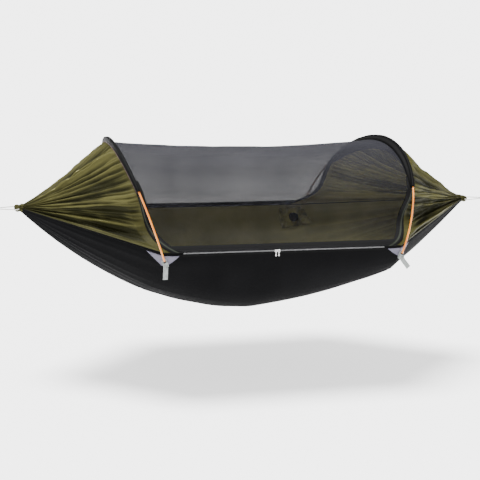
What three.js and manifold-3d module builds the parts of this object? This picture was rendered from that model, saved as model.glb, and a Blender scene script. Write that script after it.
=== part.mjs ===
// A camping hammock with a built-in bug net: a two-layer bed gathered at both ends, pleated end caps,
// and a net between two bent-pole hoops, with a zipped door along the front.
// Millimetres, +Z up. +X runs from the head end to the foot end, and the door side faces -Y.
// The origin is where the head-end carabiner bears on the strap that holds it up.
import * as THREE from 'three';
import { mergeVertices } from 'three/addons/utils/BufferGeometryUtils.js';
import Module from 'manifold-3d';

const wasm = await Module();
wasm.setup();

// ---- Driving dimensions ---------------------------------------------------------------------------
// Inside this file lengths are measured from mid-span, at the height of the pole feet.
const halfSpan = 1320; // mid-span to the outside of each gathered end
const endHeight = 186; // gathered ends above the pole feet
const canopyShift = -20; // the hoops stand this far towards the head end
const footReach = 606; // pole feet from the canopy's middle, on average
const splay = 51; // the front feet stand this much wider than that, the rear feet this much less
const halfWidth = 593; // pole feet from the centre line
const crownReach = 798; // hoop crowns from the canopy's middle
const crownHeight = 543;
const rimHeight = 53; // sewn rim of the bed, above the pole feet
const rimHalfWidth = 581;
const bedFloor = -372; // lowest point of the bed
const clothWall = 2; // thickness that stands for a layer of cloth
const seamGap = 1.2; // between two panels that are sewn together

const poleRadius = 4.75;
const poleBore = 3.2;
const shockCordRadius = 1.3;
const ferruleRadius = 7.5;
const ferruleBore = 6.5;
const tipBore = 5.3;
const ferruleLength = 56;
const sleeveRadius = 11.6;
const sleeveBore = 10;
const sleeveStart = 0.22; // the sleeve covers the hoop from here to the same point on the other leg
const polePieces = 4;
const sectionSteps = 7;

const neckReach = 1286; // where the cloth ends in the gathered end
const neckRadius = 19;
const ropeRadius = 2.5;
const bightReach = 1440; // centre of the rope loop's outer bend
const bightRadius = 10;
const carabinerLength = 80;
const carabinerWidth = 46;
const barRadius = 4.5;
const ropeBarReach = bightReach + bightRadius - ropeRadius - barRadius - 0.4;

const doorSplit = -70; // where the two zip sliders meet
const coilHeight = 8;
const coilY = -rimHalfWidth - 2.7; // middle of the zip coil
const bandHeight = 27;
const bedColumns = 24;
const bedRows = 14;
const netColumns = 12;
const netRows = 18;
const tabWidth = 25;
const tabTail = 62;

const HEAD = -1;
const FOOT = 1;
const FRONT = -1;
const REAR = 1;
const endName = { [HEAD]: 'head', [FOOT]: 'foot' };
const sideName = { [FRONT]: 'front', [REAR]: 'rear' };

const lerp = THREE.MathUtils.lerp;
const clamp01 = (value) => THREE.MathUtils.clamp(value, 0, 1);
const point = (x, y, z) => new THREE.Vector3(x, y, z);

// ---- Finishes -------------------------------------------------------------------------------------
const finish = (color, roughness, metalness = 0) =>
  new THREE.MeshStandardMaterial({ color, roughness, metalness });
const oliveNylon = finish(0x7c7950, 0.6);
const blackNylon = finish(0x232325, 0.65);
const blackMesh = finish(0x3a3a3e, 0.8);
const blackTape = finish(0x1b1b1d, 0.75);
const greyWebbing = finish(0xc2c5c4, 0.8);
const greyPatch = finish(0x8f8d98, 0.7);
const zipGrey = finish(0x7d7d7f, 0.5);
const zincPlate = finish(0xc9c9c6, 0.3, 1);
const orangeFibre = finish(0xe8965a, 0.35);
const alloy = finish(0xb8babd, 0.35, 1);
const steel = finish(0x9a9c9f, 0.3, 1);
const rubber = finish(0x2a2a2a, 0.85);
const ropeGrey = finish(0xd2d2cc, 0.8);
const elastic = finish(0x303033, 0.9);

const hammock = new THREE.Group();

function place(name, geometry, material, position = point(0, 0, 0), parent = hammock) {
  const mesh = new THREE.Mesh(geometry, material);
  mesh.name = name;
  mesh.position.copy(position);
  parent.add(mesh);
  return mesh;
}

// ---- Cutting and joining --------------------------------------------------------------------------
function toSolid(geometry) {
  const bare = geometry.clone();
  bare.deleteAttribute('normal');
  bare.deleteAttribute('uv');
  const merged = mergeVertices(bare, 1e-4);
  return new wasm.Manifold(new wasm.Mesh({
    numProp: 3,
    vertProperties: new Float32Array(merged.attributes.position.array),
    triVerts: new Uint32Array(merged.index.array),
  }));
}

function fromSolid(solid) {
  const mesh = solid.getMesh();
  const geometry = new THREE.BufferGeometry();
  geometry.setAttribute('position', new THREE.BufferAttribute(mesh.vertProperties, 3));
  geometry.setIndex(new THREE.BufferAttribute(mesh.triVerts, 1));
  geometry.computeVertexNormals();
  return geometry;
}

const join = (...pieces) => fromSolid(pieces.map(toSolid).reduce((whole, piece) => whole.add(piece)));
const cut = (body, ...tools) =>
  fromSolid(tools.map(toSolid).reduce((whole, tool) => whole.subtract(tool), toSolid(body)));

// ---- Sheets, ribbons and rods ---------------------------------------------------------------------
// Builds a closed solid from two grids of points, an outer and an inner one.
function closedGrid(outer, inner) {
  const rows = outer.length;
  const columns = outer[0].length;
  const positions = [...outer.flat(), ...inner.flat()].flatMap((p) => [p.x, p.y, p.z]);
  const at = (layer, i, j) => layer * rows * columns + i * columns + j;
  const faces = [];
  const quad = (a, b, c, d) => faces.push(a, b, c, a, c, d);
  for (let i = 0; i < rows - 1; i++) {
    for (let j = 0; j < columns - 1; j++) {
      quad(at(0, i, j), at(0, i + 1, j), at(0, i + 1, j + 1), at(0, i, j + 1));
      quad(at(1, i, j), at(1, i, j + 1), at(1, i + 1, j + 1), at(1, i + 1, j));
    }
    quad(at(0, i, 0), at(1, i, 0), at(1, i + 1, 0), at(0, i + 1, 0));
    quad(at(0, i + 1, columns - 1), at(1, i + 1, columns - 1), at(1, i, columns - 1), at(0, i, columns - 1));
  }
  for (let j = 0; j < columns - 1; j++) {
    quad(at(0, 0, j + 1), at(1, 0, j + 1), at(1, 0, j), at(0, 0, j));
    quad(at(0, rows - 1, j), at(1, rows - 1, j), at(1, rows - 1, j + 1), at(0, rows - 1, j + 1));
  }
  const geometry = new THREE.BufferGeometry();
  geometry.setAttribute('position', new THREE.Float32BufferAttribute(positions, 3));
  geometry.setIndex(faces);
  if (signedVolume(geometry) < 0) geometry.setIndex(faces.reverse());
  geometry.computeVertexNormals();
  return geometry;
}

function signedVolume(geometry) {
  const { position } = geometry.attributes;
  const corner = (k) => new THREE.Vector3().fromBufferAttribute(position, geometry.index.getX(k));
  let volume = 0;
  for (let k = 0; k < geometry.index.count; k += 3) {
    volume += corner(k).dot(corner(k + 1).cross(corner(k + 2))) / 6;
  }
  return volume;
}

// The unit normal of a surface, turned to point away from the hammock's centre line.
function outwardNormal(surface, u, v) {
  const step = 0.002;
  const u0 = Math.min(u, 1 - step);
  const v0 = Math.min(v, 1 - step);
  const along = surface(u0 + step, v0).sub(surface(u0, v0));
  const across = surface(u0, v0 + step).sub(surface(u0, v0));
  const normal = along.cross(across).normalize();
  const place = surface(u, v);
  const away = point(0, place.y, place.z - endHeight / 2);
  return normal.dot(away) < 0 ? normal.negate() : normal;
}

// A cloth panel: its outer face lies `lift` outside the surface, and its inner face `wall` below that.
// The wall may be a number or a function of u and v.
function panel(surface, uSteps, vSteps, wall, lift = 0) {
  const outer = [];
  const inner = [];
  for (let i = 0; i <= uSteps; i++) {
    outer.push([]);
    inner.push([]);
    for (let j = 0; j <= vSteps; j++) {
      const u = i / uSteps;
      const v = j / vSteps;
      const normal = outwardNormal(surface, u, v);
      const depth = typeof wall === 'function' ? wall(u, v) : wall;
      outer[i].push(surface(u, v).addScaledVector(normal, lift));
      inner[i].push(surface(u, v).addScaledVector(normal, lift - depth));
    }
  }
  return closedGrid(outer, inner);
}

// A curve in space given by a function of 0 to 1.
class RouteCurve extends THREE.Curve {
  constructor(route) {
    super();
    this.route = route;
  }
  getPoint(t, target = new THREE.Vector3()) {
    return target.copy(this.route(t));
  }
}

const circle = (radius) => new THREE.Shape().absarc(0, 0, radius, 0, 2 * Math.PI);

// A rod, or a tube when it has a bore, along a curve.
function rod(curve, steps, radius, sides, bore = 0) {
  const section = circle(radius);
  if (bore > 0) section.holes.push(circle(bore));
  return new THREE.ExtrudeGeometry(section, { extrudePath: curve, steps, curveSegments: sides / 2 });
}

// A plate cut from an outline in its local XY plane, centred on its thickness.
function plate(outline, thickness, curveSegments = 8) {
  const options = { depth: thickness, bevelEnabled: false, curveSegments };
  return new THREE.ExtrudeGeometry(outline, options).translate(0, 0, -thickness / 2);
}

// ---- The shape of the hammock ---------------------------------------------------------------------
// Each hoop is half an ellipse that leans outwards. t runs from the front foot, 0, to the rear foot, 1.
function hoopPoint(end, t) {
  const turn = Math.PI * t;
  const y = -halfWidth * Math.cos(turn);
  const rise = Math.sin(turn);
  const reach = footReach + (crownReach - footReach) * rise - (splay * y) / halfWidth;
  return point(canopyShift + end * reach, y, crownHeight * rise);
}
const hoopFoot = (end, side) => hoopPoint(end, side === FRONT ? 0 : 1);

// The rim: straight between the feet, and straight from each foot to the gathered end.
function rimPoint(x, side) {
  const head = hoopFoot(HEAD, side).x;
  const foot = hoopFoot(FOOT, side).x;
  const past = x < head ? (head - x) / (head + neckReach) : (x - foot) / (neckReach - foot);
  const out = clamp01(past);
  return point(x, side * lerp(rimHalfWidth, neckRadius, out), lerp(rimHeight, endHeight, out));
}

// The bed hangs as a deep cradle, u along from head to foot, v across from the front rim to the rear.
function bedPoint(u, v) {
  const x = lerp(-neckReach, neckReach, u);
  const front = rimPoint(x, FRONT);
  const rear = rimPoint(x, REAR);
  const lowestX = -90;
  const from = Math.abs(x - lowestX) / (neckReach - Math.sign(x - lowestX) * lowestX);
  const floor = lerp(bedFloor, endHeight - neckRadius, from ** (x < lowestX ? 1.95 : 1.62));
  const turn = Math.PI * (v - 0.5);
  const rim = lerp(front.z, rear.z, v);
  const y = (front.y + rear.y) / 2 + ((rear.y - front.y) / 2) * Math.sin(turn);
  return point(x, y, rim - (rim - floor) * Math.max(0, Math.cos(turn)) ** 0.9);
}

// The seam between an end cap and the net. Over the upper hoop it runs just inside the pole. On the
// legs it draws in towards the bed, and then rounds the corner to run out along the rim.
const cornerRun = 92;
function seamPoint(end, v) {
  const firstT = Math.asin(rimHeight / crownHeight) / Math.PI;
  const t = lerp(firstT, 1 - firstT, v);
  const onHoop = hoopPoint(end, t);
  const rise = onHoop.z / crownHeight;
  const leg = clamp01((0.66 - rise) / (0.66 - rimHeight / crownHeight));
  const inset = 15 * (1 - leg) + 112 * Math.sin(Math.PI * leg ** 1.4);
  const side = Math.sign(onHoop.y) || 1;
  const hoopEdge = lerp(halfWidth, rimHalfWidth, leg) / halfWidth;
  const y = onHoop.y * hoopEdge - side * inset * Math.abs(onHoop.y / halfWidth);
  const z = onHoop.z - 15 * (1 - leg) * rise;
  return point(onHoop.x - end * cornerRun * leg ** 8, lerp(y, side * rimHalfWidth, leg ** 6), z);
}

// An end cap: u from the gathered end, 0, to the seam, 1; v from the front rim to the rear rim.
function capPoint(end, u, v) {
  const turn = Math.PI * v;
  const neck = point(end * neckReach, -neckRadius * Math.cos(turn), endHeight + neckRadius * Math.sin(turn));
  const seam = seamPoint(end, v);
  const hang = 1 + 0.35 * Math.sin(turn);
  const middle = point(lerp(neck.x, seam.x, u), lerp(neck.y, seam.y, u), lerp(neck.z, seam.z, u ** hang));
  for (const side of [FRONT, REAR]) {
    const near = side === FRONT ? 1 - v : v;
    const edgeSeam = seamPoint(end, side === FRONT ? 0 : 1);
    const x = lerp(end * neckReach, edgeSeam.x, u);
    const straight = point(x, lerp(side * neckRadius, edgeSeam.y, u), lerp(endHeight, edgeSeam.z, u));
    middle.addScaledVector(rimPoint(x, side).sub(straight), near ** 6);
  }
  middle.z += seamGap * Math.abs(Math.cos(turn)) ** 8;
  return middle;
}

// The net: u from the head seam to the foot seam, v from the front rim to the rear rim.
function netPoint(u, v) {
  const head = seamPoint(HEAD, v);
  const foot = seamPoint(FOOT, v);
  const sag = 1 - Math.abs(2 * u - 1) ** 2.6;
  const up = Math.sin(Math.PI * v);
  const middle = head.lerp(foot, u);
  middle.z += seamGap * (1 - up) - 34 * sag * up;
  middle.y *= 1 - 0.05 * sag * up;
  return middle;
}

// ---- Bed, end caps and net ------------------------------------------------------------------------
function addBed() {
  place('bed_outer', panel(bedPoint, bedColumns, bedRows, clothWall), blackNylon);
  place('bed_inner', panel(bedPoint, bedColumns, bedRows, clothWall, -clothWall - 0.7), oliveNylon);
}

function addEndCap(end) {
  const inset = 0.994; // leaves the seam's gap to the net
  const cap = panel((u, v) => capPoint(end, u * inset, v), 10, netRows, clothWall);
  place(`${endName[end]}_end_cap`, cap, oliveNylon);
}

function addNet() {
  const margin = 0.003;
  const net = panel((u, v) => netPoint(lerp(margin, 1 - margin, u), v), netColumns, netRows, 1.4);
  place('bug_net', net, blackMesh);
}

// ---- Edge bands and door zip ----------------------------------------------------------------------
// A band is sewn along the net's edge: along the rim, and up each leg to the sleeve's end. It lies on
// the outermost row or column of the net's facets.
function addNetBand(side) {
  const across = (v) => (side === FRONT ? v : 1 - v);
  const rimBand = panel(
    (u, v) => {
      const along = lerp(0.012, 0.988, u);
      return netPoint(along, across(0)).lerp(netPoint(along, across(1 / netRows)), (v * bandHeight) / 87);
    },
    netColumns, 1, 1.2, 2,
  );
  const legBands = [HEAD, FOOT].map((end) => panel(
    (u, v) => {
      const edge = end === HEAD ? 0.006 : 0.994;
      const inner = end === HEAD ? 1 / netColumns : 1 - 1 / netColumns;
      const row = across((4 * u) / netRows);
      return netPoint(edge, row).lerp(netPoint(inner, row), (v * bandHeight) / 108);
    },
    4, 1, 1.2, 2.6,
  ));
  place(`${sideName[side]}_net_band`, join(rimBand, ...legBands), blackTape);
}

const doorStart = hoopFoot(HEAD, FRONT).x + cornerRun;
const doorEnd = hoopFoot(FOOT, FRONT).x - cornerRun;

// The door's zip runs straight along the front rim: a tape below, and the coil on it.
function addDoorZip() {
  const length = doorEnd - doorStart;
  const middle = (doorStart + doorEnd) / 2;
  const tape = new THREE.BoxGeometry(length, 0.8, 19);
  place('door_zip_tape', tape, blackTape, point(middle, -rimHalfWidth - 0.9, rimHeight - 9));

  const section = new THREE.Shape();
  section.absarc(-coilHeight / 2 + 1.1, 0, 1.1, Math.PI / 2, (3 * Math.PI) / 2);
  section.absarc(coilHeight / 2 - 1.1, 0, 1.1, -Math.PI / 2, Math.PI / 2);
  const coil = plate(section, length - 8, 6).rotateX(Math.PI / 2).rotateZ(Math.PI / 2).rotateX(Math.PI / 2);
  place('door_zip_coil', coil, zipGrey, point(middle, coilY, rimHeight - 3));
}

// ---- Zip sliders ----------------------------------------------------------------------------------
// A slider straddles the coil. Local axes: X along the zip towards its closed side, Z across the zip,
// -Y out from the cloth. The plate is shield-shaped, with lips that hook behind the coil's edges, and
// an arched bail that the pull's top bar hangs in.
const sliderLength = 15;
const plateOut = 3.4; // outer face of the plate, from the coil's middle
const pullPivotOut = plateOut + 1.5;
const pullPivotDrop = 1.7; // the pull's top bar rests this far below the bail's middle

function sliderGeometry() {
  const shoulder = 7;
  const tail = 5.6;
  const half = sliderLength / 2;
  const shield = new THREE.Shape();
  shield.moveTo(-half, -tail);
  shield.lineTo(0, -tail);
  shield.bezierCurveTo(2.5, -tail, 3, -shoulder, 4.5, -shoulder);
  shield.quadraticCurveTo(half, -shoulder, half, 0);
  shield.quadraticCurveTo(half, shoulder, 4.5, shoulder);
  shield.bezierCurveTo(3, shoulder, 2.5, tail, 0, tail);
  shield.lineTo(-half, tail);
  shield.closePath();
  const depth = plateOut + 1.3;
  const block = plate(shield, depth, 4).rotateX(Math.PI / 2).translate(0, depth / 2 - plateOut, 0);
  const channel = new THREE.BoxGeometry(sliderLength + 4, 4, coilHeight + 1).translate(0, 0.1, 0);

  // The bail, drawn in the plane across the zip: along it, then out from the plate.
  const arch = new THREE.Shape();
  arch.moveTo(-4, -1);
  arch.lineTo(-4, 1.6);
  arch.quadraticCurveTo(-4, 4, 0, 4);
  arch.quadraticCurveTo(4, 4, 4, 1.6);
  arch.lineTo(4, -1);
  arch.lineTo(2.9, -1);
  arch.lineTo(2.9, 1.4);
  arch.quadraticCurveTo(2.9, 2.9, 0, 2.9);
  arch.quadraticCurveTo(-2.9, 2.9, -2.9, 1.4);
  arch.lineTo(-2.9, -1);
  arch.closePath();
  const bail = plate(arch, 2.2, 4);
  bail.applyMatrix4(new THREE.Matrix4().makeBasis(point(0, 0, 1), point(0, -1, 0), point(1, 0, 0)));
  bail.translate(0, -plateOut, 0);
  return join(cut(block, channel), bail);
}

// The pull hangs from its top bar, which lies at the local origin. It is a flat key with a window that
// clears the bail, a waist, and a ribbed round grip.
function pullGeometry() {
  const outline = new THREE.Shape();
  outline.moveTo(-3.4, 0.7);
  outline.lineTo(3.4, 0.7);
  outline.lineTo(3.4, -7.6);
  outline.bezierCurveTo(3.4, -10, 2.2, -10, 2.4, -12.5);
  outline.bezierCurveTo(2.8, -16, 4.3, -17, 4.3, -23);
  outline.absarc(0, -23, 4.3, 0, -Math.PI, true);
  outline.bezierCurveTo(-4.3, -17, -2.8, -16, -2.4, -12.5);
  outline.bezierCurveTo(-2.2, -10, -3.4, -10, -3.4, -7.6);
  outline.closePath();
  const window = new THREE.Path();
  window.moveTo(-1.9, -0.7);
  window.lineTo(-1.9, -6.2);
  window.lineTo(1.9, -6.2);
  window.lineTo(1.9, -0.7);
  window.closePath();
  const hole = new THREE.Path().absarc(0, -23, 1.6, 0, 2 * Math.PI);
  outline.holes.push(window, hole);
  const key = plate(outline, 1.3, 4).rotateX(Math.PI / 2);
  const ribs = [0, 1, 2].map((i) => new THREE.BoxGeometry(4.6, 2.1, 0.8).translate(0, 0, -15.6 - 1.7 * i));
  return join(key, ...ribs);
}

function addSlider(end) {
  const x = doorSplit + end * (sliderLength / 2 + 0.4);
  const slider = sliderGeometry();
  if (end === HEAD) slider.rotateY(Math.PI);
  place(`${endName[end]}_zip_slider`, slider, zincPlate, point(x, coilY, rimHeight - 3));
  const pivot = point(x, coilY - pullPivotOut, rimHeight - 3 - pullPivotDrop);
  place(`${endName[end]}_zip_pull`, pullGeometry(), zincPlate, pivot);
}

// ---- Corners: patch, tab and pole tip -------------------------------------------------------------
// A triangle of stout cloth backs each corner of the bed, below the rim. It follows the bed's wall.
const patchHalf = 76;
function addCornerPatch(end, side) {
  const foot = hoopFoot(end, side).x;
  const face = (u, v) => {
    const x = foot + patchHalf * (2 * u - 1) * (1 - 0.86 * v);
    const across = 0.5 + side * (0.5 - (0.011 + 0.052 * v));
    return bedPoint((x + neckReach) / (2 * neckReach), across);
  };
  place(`${endName[end]}_${sideName[side]}_corner_patch`, panel(face, 8, 3, 1.2, 2.4), greyPatch);
}

const legLean = Math.atan2(crownReach - footReach, crownHeight); // how far a pole foot leans, seen along Y

// The tab is one strip of webbing: turned up at its middle into a pocket for the pole, with a free tail.
// Local axes: X across the strip, +Y out from the bed, +Z up, and the pole's axis is the Z axis.
const pocketInner = 7.5;
function tabGeometry(lean, tailSwing) {
  const wall = 2;
  const outer = pocketInner + wall;
  const pocket = new THREE.Shape();
  pocket.moveTo(-outer, 22);
  pocket.lineTo(-outer, -8);
  pocket.absarc(0, -8, outer, Math.PI, 2 * Math.PI);
  pocket.lineTo(outer, 8);
  pocket.lineTo(pocketInner, 8);
  pocket.lineTo(pocketInner, -8);
  pocket.absarc(0, -8, pocketInner, 2 * Math.PI, Math.PI, true);
  pocket.lineTo(-pocketInner, 22);
  pocket.closePath();
  const sleeve = plate(pocket, tabWidth, 8);
  sleeve.applyMatrix4(new THREE.Matrix4().makeBasis(point(0, 1, 0), point(0, 0, 1), point(1, 0, 0)));
  const tail = new THREE.BoxGeometry(tabWidth, wall, tabTail).translate(0, 0, 2 - tabTail / 2);
  tail.rotateY(tailSwing).translate(0, 0, -8 - outer + wall / 2);
  return join(sleeve.rotateY(lean), tail);
}

function addTab(end, side, tailSwing) {
  const turned = side === FRONT ? Math.PI : 0;
  const sense = side === FRONT ? -1 : 1; // turning the strip round to face the front reverses its lean
  const tab = tabGeometry(sense * end * legLean, sense * tailSwing).rotateZ(turned);
  place(`${endName[end]}_${sideName[side]}_corner_tab`, tab, greyWebbing, hoopFoot(end, side));
}

// ---- Hoops: pole sections, ferrules, tips, shock cords and sleeves --------------------------------
const hoopCurve = (end, from, to) => new RouteCurve((t) => hoopPoint(end, lerp(from, to, t)));

// A lathe turned about its own Z axis from an outline of [radius, height] pairs that closes on itself.
function turning(outline, sides) {
  const profile = [...outline, outline[0]].map(([radius, height]) => new THREE.Vector2(radius, height));
  return new THREE.LatheGeometry(profile, sides).rotateX(Math.PI / 2);
}

function addPole(end) {
  const clearance = 0.0003; // between two sections that butt inside a ferrule
  for (let k = 0; k < polePieces; k++) {
    const curve = hoopCurve(end, k / polePieces + clearance, (k + 1) / polePieces - clearance);
    const section = rod(curve, sectionSteps, poleRadius, 8, poleBore);
    place(`${endName[end]}_pole_section_${k + 1}`, section, orangeFibre);
  }
  for (let k = 1; k < polePieces; k++) {
    const t = k / polePieces;
    const half = ferruleLength / 2;
    const ring = [[ferruleBore, -half], [ferruleRadius, -half], [ferruleRadius, half], [ferruleBore, half]];
    const ferrule = place(`${endName[end]}_pole_ferrule_${k}`, turning(ring, 12), alloy, hoopPoint(end, t));
    const along = hoopPoint(end, t + 0.01).sub(hoopPoint(end, t - 0.01)).normalize();
    ferrule.quaternion.setFromUnitVectors(point(0, 0, 1), along);
  }
  const cord = hoopCurve(end, 0.004, 0.996);
  place(`${endName[end]}_shock_cord`, rod(cord, polePieces * sectionSteps, shockCordRadius, 6), elastic);
}

// A moulded cup closes each end of a pole and sits in the tab's pocket.
function addPoleTip(end, side) {
  const wall = 1;
  const outer = tipBore + wall;
  const cup = [
    [0, -1.8], [4.6, -1.8], [outer, -0.4], [outer, 15],
    [tipBore, 15], [tipBore, -0.5], [0, -0.5],
  ];
  const foot = hoopFoot(end, side);
  const tip = place(`${endName[end]}_${sideName[side]}_pole_tip`, turning(cup, 12), rubber, foot);
  const firstStep = 1 / (polePieces * sectionSteps);
  const up = hoopPoint(end, side === FRONT ? firstStep : 1 - firstStep).sub(foot).normalize();
  tip.quaternion.setFromUnitVectors(point(0, 0, 1), up);
}

function addSleeve(end) {
  const curve = hoopCurve(end, sleeveStart, 1 - sleeveStart);
  place(`${endName[end]}_hoop_sleeve`, rod(curve, 20, sleeveRadius, 8, sleeveBore), blackNylon);
}

// ---- Gathered ends and rope loops -----------------------------------------------------------------
// The end of the cloth is a tunnel bunched up along the rope, so its ridges stack along Y.
const tunnelReach = 1303;
const tunnelHalf = 27;
function addGatheredEnd(end) {
  const ridges = 6;
  const outside = Array.from({ length: ridges * 2 + 1 }, (_, i) => {
    const along = (i / (ridges * 2)) * 2 - 1;
    const crest = i % 2 === 0 ? 0 : 1.8;
    return [12.6 + 2.2 * Math.cos((along * Math.PI) / 2) + crest, along * tunnelHalf];
  });
  const bunch = turning([[3.6, -tunnelHalf], ...outside, [3.6, tunnelHalf]], 12).rotateX(-Math.PI / 2);

  // The throat: the last of the pleats, which fill the neck that the bed and the cap close round.
  const pleats = 11;
  const throatLength = 26;
  const rim = Array.from({ length: pleats * 4 }, (_, i) => {
    const turn = (i / (pleats * 4)) * 2 * Math.PI;
    const radius = 12.3 + 1.1 * Math.cos(pleats * turn);
    return new THREE.Vector2(radius * Math.cos(turn), radius * Math.sin(turn));
  });
  const throat = plate(new THREE.Shape(rim), throatLength).rotateY(Math.PI / 2);
  throat.translate((-end * throatLength) / 2, 0, 0);
  const tunnel = new THREE.CylinderGeometry(3.6, 3.6, 2 * tunnelHalf + 4, 12);
  place(`${endName[end]}_gathered_end`, cut(join(bunch, throat), tunnel), oliveNylon,
    point(end * tunnelReach, 0, endHeight));
}

// One leg of the rope loop, from inside the tunnel out to the middle of the bight.
const ropeLeg = [
  [1303, 19], [1303, 28], [1304, 34], [1308.5, 40], [1317, 42], [1336, 37.5], [1370, 27], [1405, 16.5],
  [1430, 10.8], [1440, 9.8], [1446.9, 7.2], [1450, 0],
];
function addRopeLoop(end) {
  const front = ropeLeg.map(([x, y]) => point(end * x, -y, endHeight));
  const rear = ropeLeg.slice(0, -1).reverse().map(([x, y]) => point(end * x, y, endHeight));
  const curve = new THREE.CatmullRomCurve3([...front, ...rear], false, 'centripetal');
  place(`${endName[end]}_rope_loop`, rod(curve, 44, ropeRadius, 8), ropeGrey);
}

// ---- Carabiners -----------------------------------------------------------------------------------
// Local axes: X from the bar in the rope to the bar in the strap, +Z the gate side, Y through the
// plate. The origin is the middle of the bar in the rope.
const barSpacing = carabinerLength - 2 * barRadius;
const bendRadius = carabinerWidth / 2 - barRadius;
const hingeX = bendRadius + 1;
const noseX = bendRadius + 32.5;
const gateRadius = 3.9;
const flatHalf = 3.6; // the forged bar is flattened on both faces
const gateEnd = noseX - 0.8;
const bulbX = noseX - 5.3; // middle of the key's round bulb
const pinRadius = 1.3;
const pinHole = 1.7;

// The bar's centre line runs from the hinge end round the rope bend, along the spine, and round the
// strap bend to the nose.
function carabinerBody() {
  const farX = barSpacing - bendRadius;
  const startAngle = Math.PI / 2 + 0.24;
  const rope = bendRadius * (1.5 * Math.PI - startAngle);
  const spine = farX - bendRadius;
  const strap = Math.PI * bendRadius;
  const nose = farX - noseX;
  const total = rope + spine + strap + nose;
  const route = new RouteCurve((t) => {
    const s = t * total;
    if (s < rope) {
      const angle = startAngle + s / bendRadius;
      return point(bendRadius + bendRadius * Math.cos(angle), 0, bendRadius * Math.sin(angle));
    }
    if (s < rope + spine) return point(bendRadius + s - rope, 0, -bendRadius);
    if (s < rope + spine + strap) {
      const angle = -Math.PI / 2 + (s - rope - spine) / bendRadius;
      return point(farX + bendRadius * Math.cos(angle), 0, bendRadius * Math.sin(angle));
    }
    return point(farX - (s - rope - spine - strap), 0, bendRadius);
  });
  const bar = rod(route, 36, barRadius, 12);
  const slab = new THREE.BoxGeometry(3 * carabinerLength, 2 * flatHalf, 3 * carabinerWidth);
  const forged = fromSolid(toSolid(bar).intersect(toSolid(slab)));

  // The hinge tongue, with its pin hole.
  const tongue = new THREE.Shape();
  tongue.moveTo(-7.2, -3.1);
  tongue.lineTo(0, -3.3);
  tongue.absarc(0, 0, 3.3, -Math.PI / 2, Math.PI / 2);
  tongue.lineTo(-7.2, 3.1);
  tongue.closePath();
  tongue.holes.push(new THREE.Path().absarc(0, 0, pinHole, 0, 2 * Math.PI));
  const ear = plate(tongue, 3, 8).rotateX(Math.PI / 2).translate(hingeX, 0, bendRadius);

  // The key-shaped nose that the gate closes over.
  const key = new THREE.Shape();
  key.moveTo(noseX + 1 - bulbX, -1.1);
  key.lineTo(noseX + 1 - bulbX, 1.1);
  key.lineTo(1.7, 1.1);
  key.absarc(0, 0, 2.05, 0.56, 2 * Math.PI - 0.56);
  key.lineTo(1.7, -1.1);
  key.closePath();
  const nosePiece = plate(key, 5, 10).translate(bulbX, 0, bendRadius);
  return join(forged, ear, nosePiece);
}

// The gate: a barrel with a forked end for the tongue, and a slot that the key-shaped nose fills.
function carabinerGate() {
  const length = gateEnd - hingeX;
  const barrel = new THREE.CylinderGeometry(gateRadius, gateRadius, length, 14).rotateZ(Math.PI / 2);
  barrel.translate(hingeX + length / 2, 0, bendRadius);
  const knuckle = new THREE.CylinderGeometry(gateRadius, gateRadius, 2 * gateRadius - 0.9, 14);
  knuckle.translate(hingeX, 0, bendRadius);
  const forkSlot = new THREE.BoxGeometry(12, 3.9, 10).translate(hingeX - 1.4, 0, bendRadius);
  const pinBore = new THREE.CylinderGeometry(pinHole, pinHole, 12, 10).translate(hingeX, 0, bendRadius);
  const pocket = new THREE.Shape();
  pocket.moveTo(8, -1.55);
  pocket.lineTo(8, 1.55);
  pocket.absarc(0.6, 0, 2.6, 0.64, Math.PI / 2);
  pocket.absarc(-0.4, 0, 2.6, Math.PI / 2, 1.5 * Math.PI);
  pocket.absarc(0.6, 0, 2.6, 1.5 * Math.PI, 2 * Math.PI - 0.64);
  pocket.closePath();
  const keySlot = plate(pocket, 12, 10).translate(bulbX, 0, bendRadius);
  return cut(join(barrel, knuckle), forkSlot, pinBore, keySlot);
}

function addCarabiner(end) {
  const carabiner = new THREE.Group();
  carabiner.position.set(end * ropeBarReach, 0, endHeight);
  if (end === HEAD) carabiner.rotation.z = Math.PI;
  hammock.add(carabiner);
  const origin = point(0, 0, 0);
  place(`${endName[end]}_carabiner_body`, carabinerBody(), alloy, origin, carabiner);
  place(`${endName[end]}_carabiner_gate`, carabinerGate(), alloy, origin, carabiner);
  const pin = new THREE.CylinderGeometry(pinRadius, pinRadius, 2 * flatHalf, 12);
  place(`${endName[end]}_carabiner_gate_pin`, pin, steel, point(hingeX, 0, bendRadius), carabiner);
}

// ---- Storage pouch --------------------------------------------------------------------------------
// The stuff sack is sewn by its mouth to the rear rim and hangs against the bed's inner wall.
const pouchX = 470;
const pouchHalf = 84;
const pouchDepth = 0.115; // share of the way across the bed that it reaches down
const pouchFullness = 24;
const pouchLift = -2 * clothWall - 4;

// A point on the bed's own flat facets, so that what lies against the wall clears it evenly.
function bedFacet(u, v) {
  const column = Math.min(Math.floor(u * bedColumns), bedColumns - 1);
  const row = Math.min(Math.floor(v * bedRows), bedRows - 1);
  const at = (i, j) => bedPoint((column + i) / bedColumns, (row + j) / bedRows);
  const along = u * bedColumns - column;
  return at(0, 0).lerp(at(1, 0), along).lerp(at(0, 1).lerp(at(1, 1), along), v * bedRows - row);
}
const pouchFace = (u, v) =>
  bedFacet((pouchX + pouchHalf * (2 * u - 1) + neckReach) / (2 * neckReach), 1 - 0.012 - pouchDepth * v);

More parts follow.
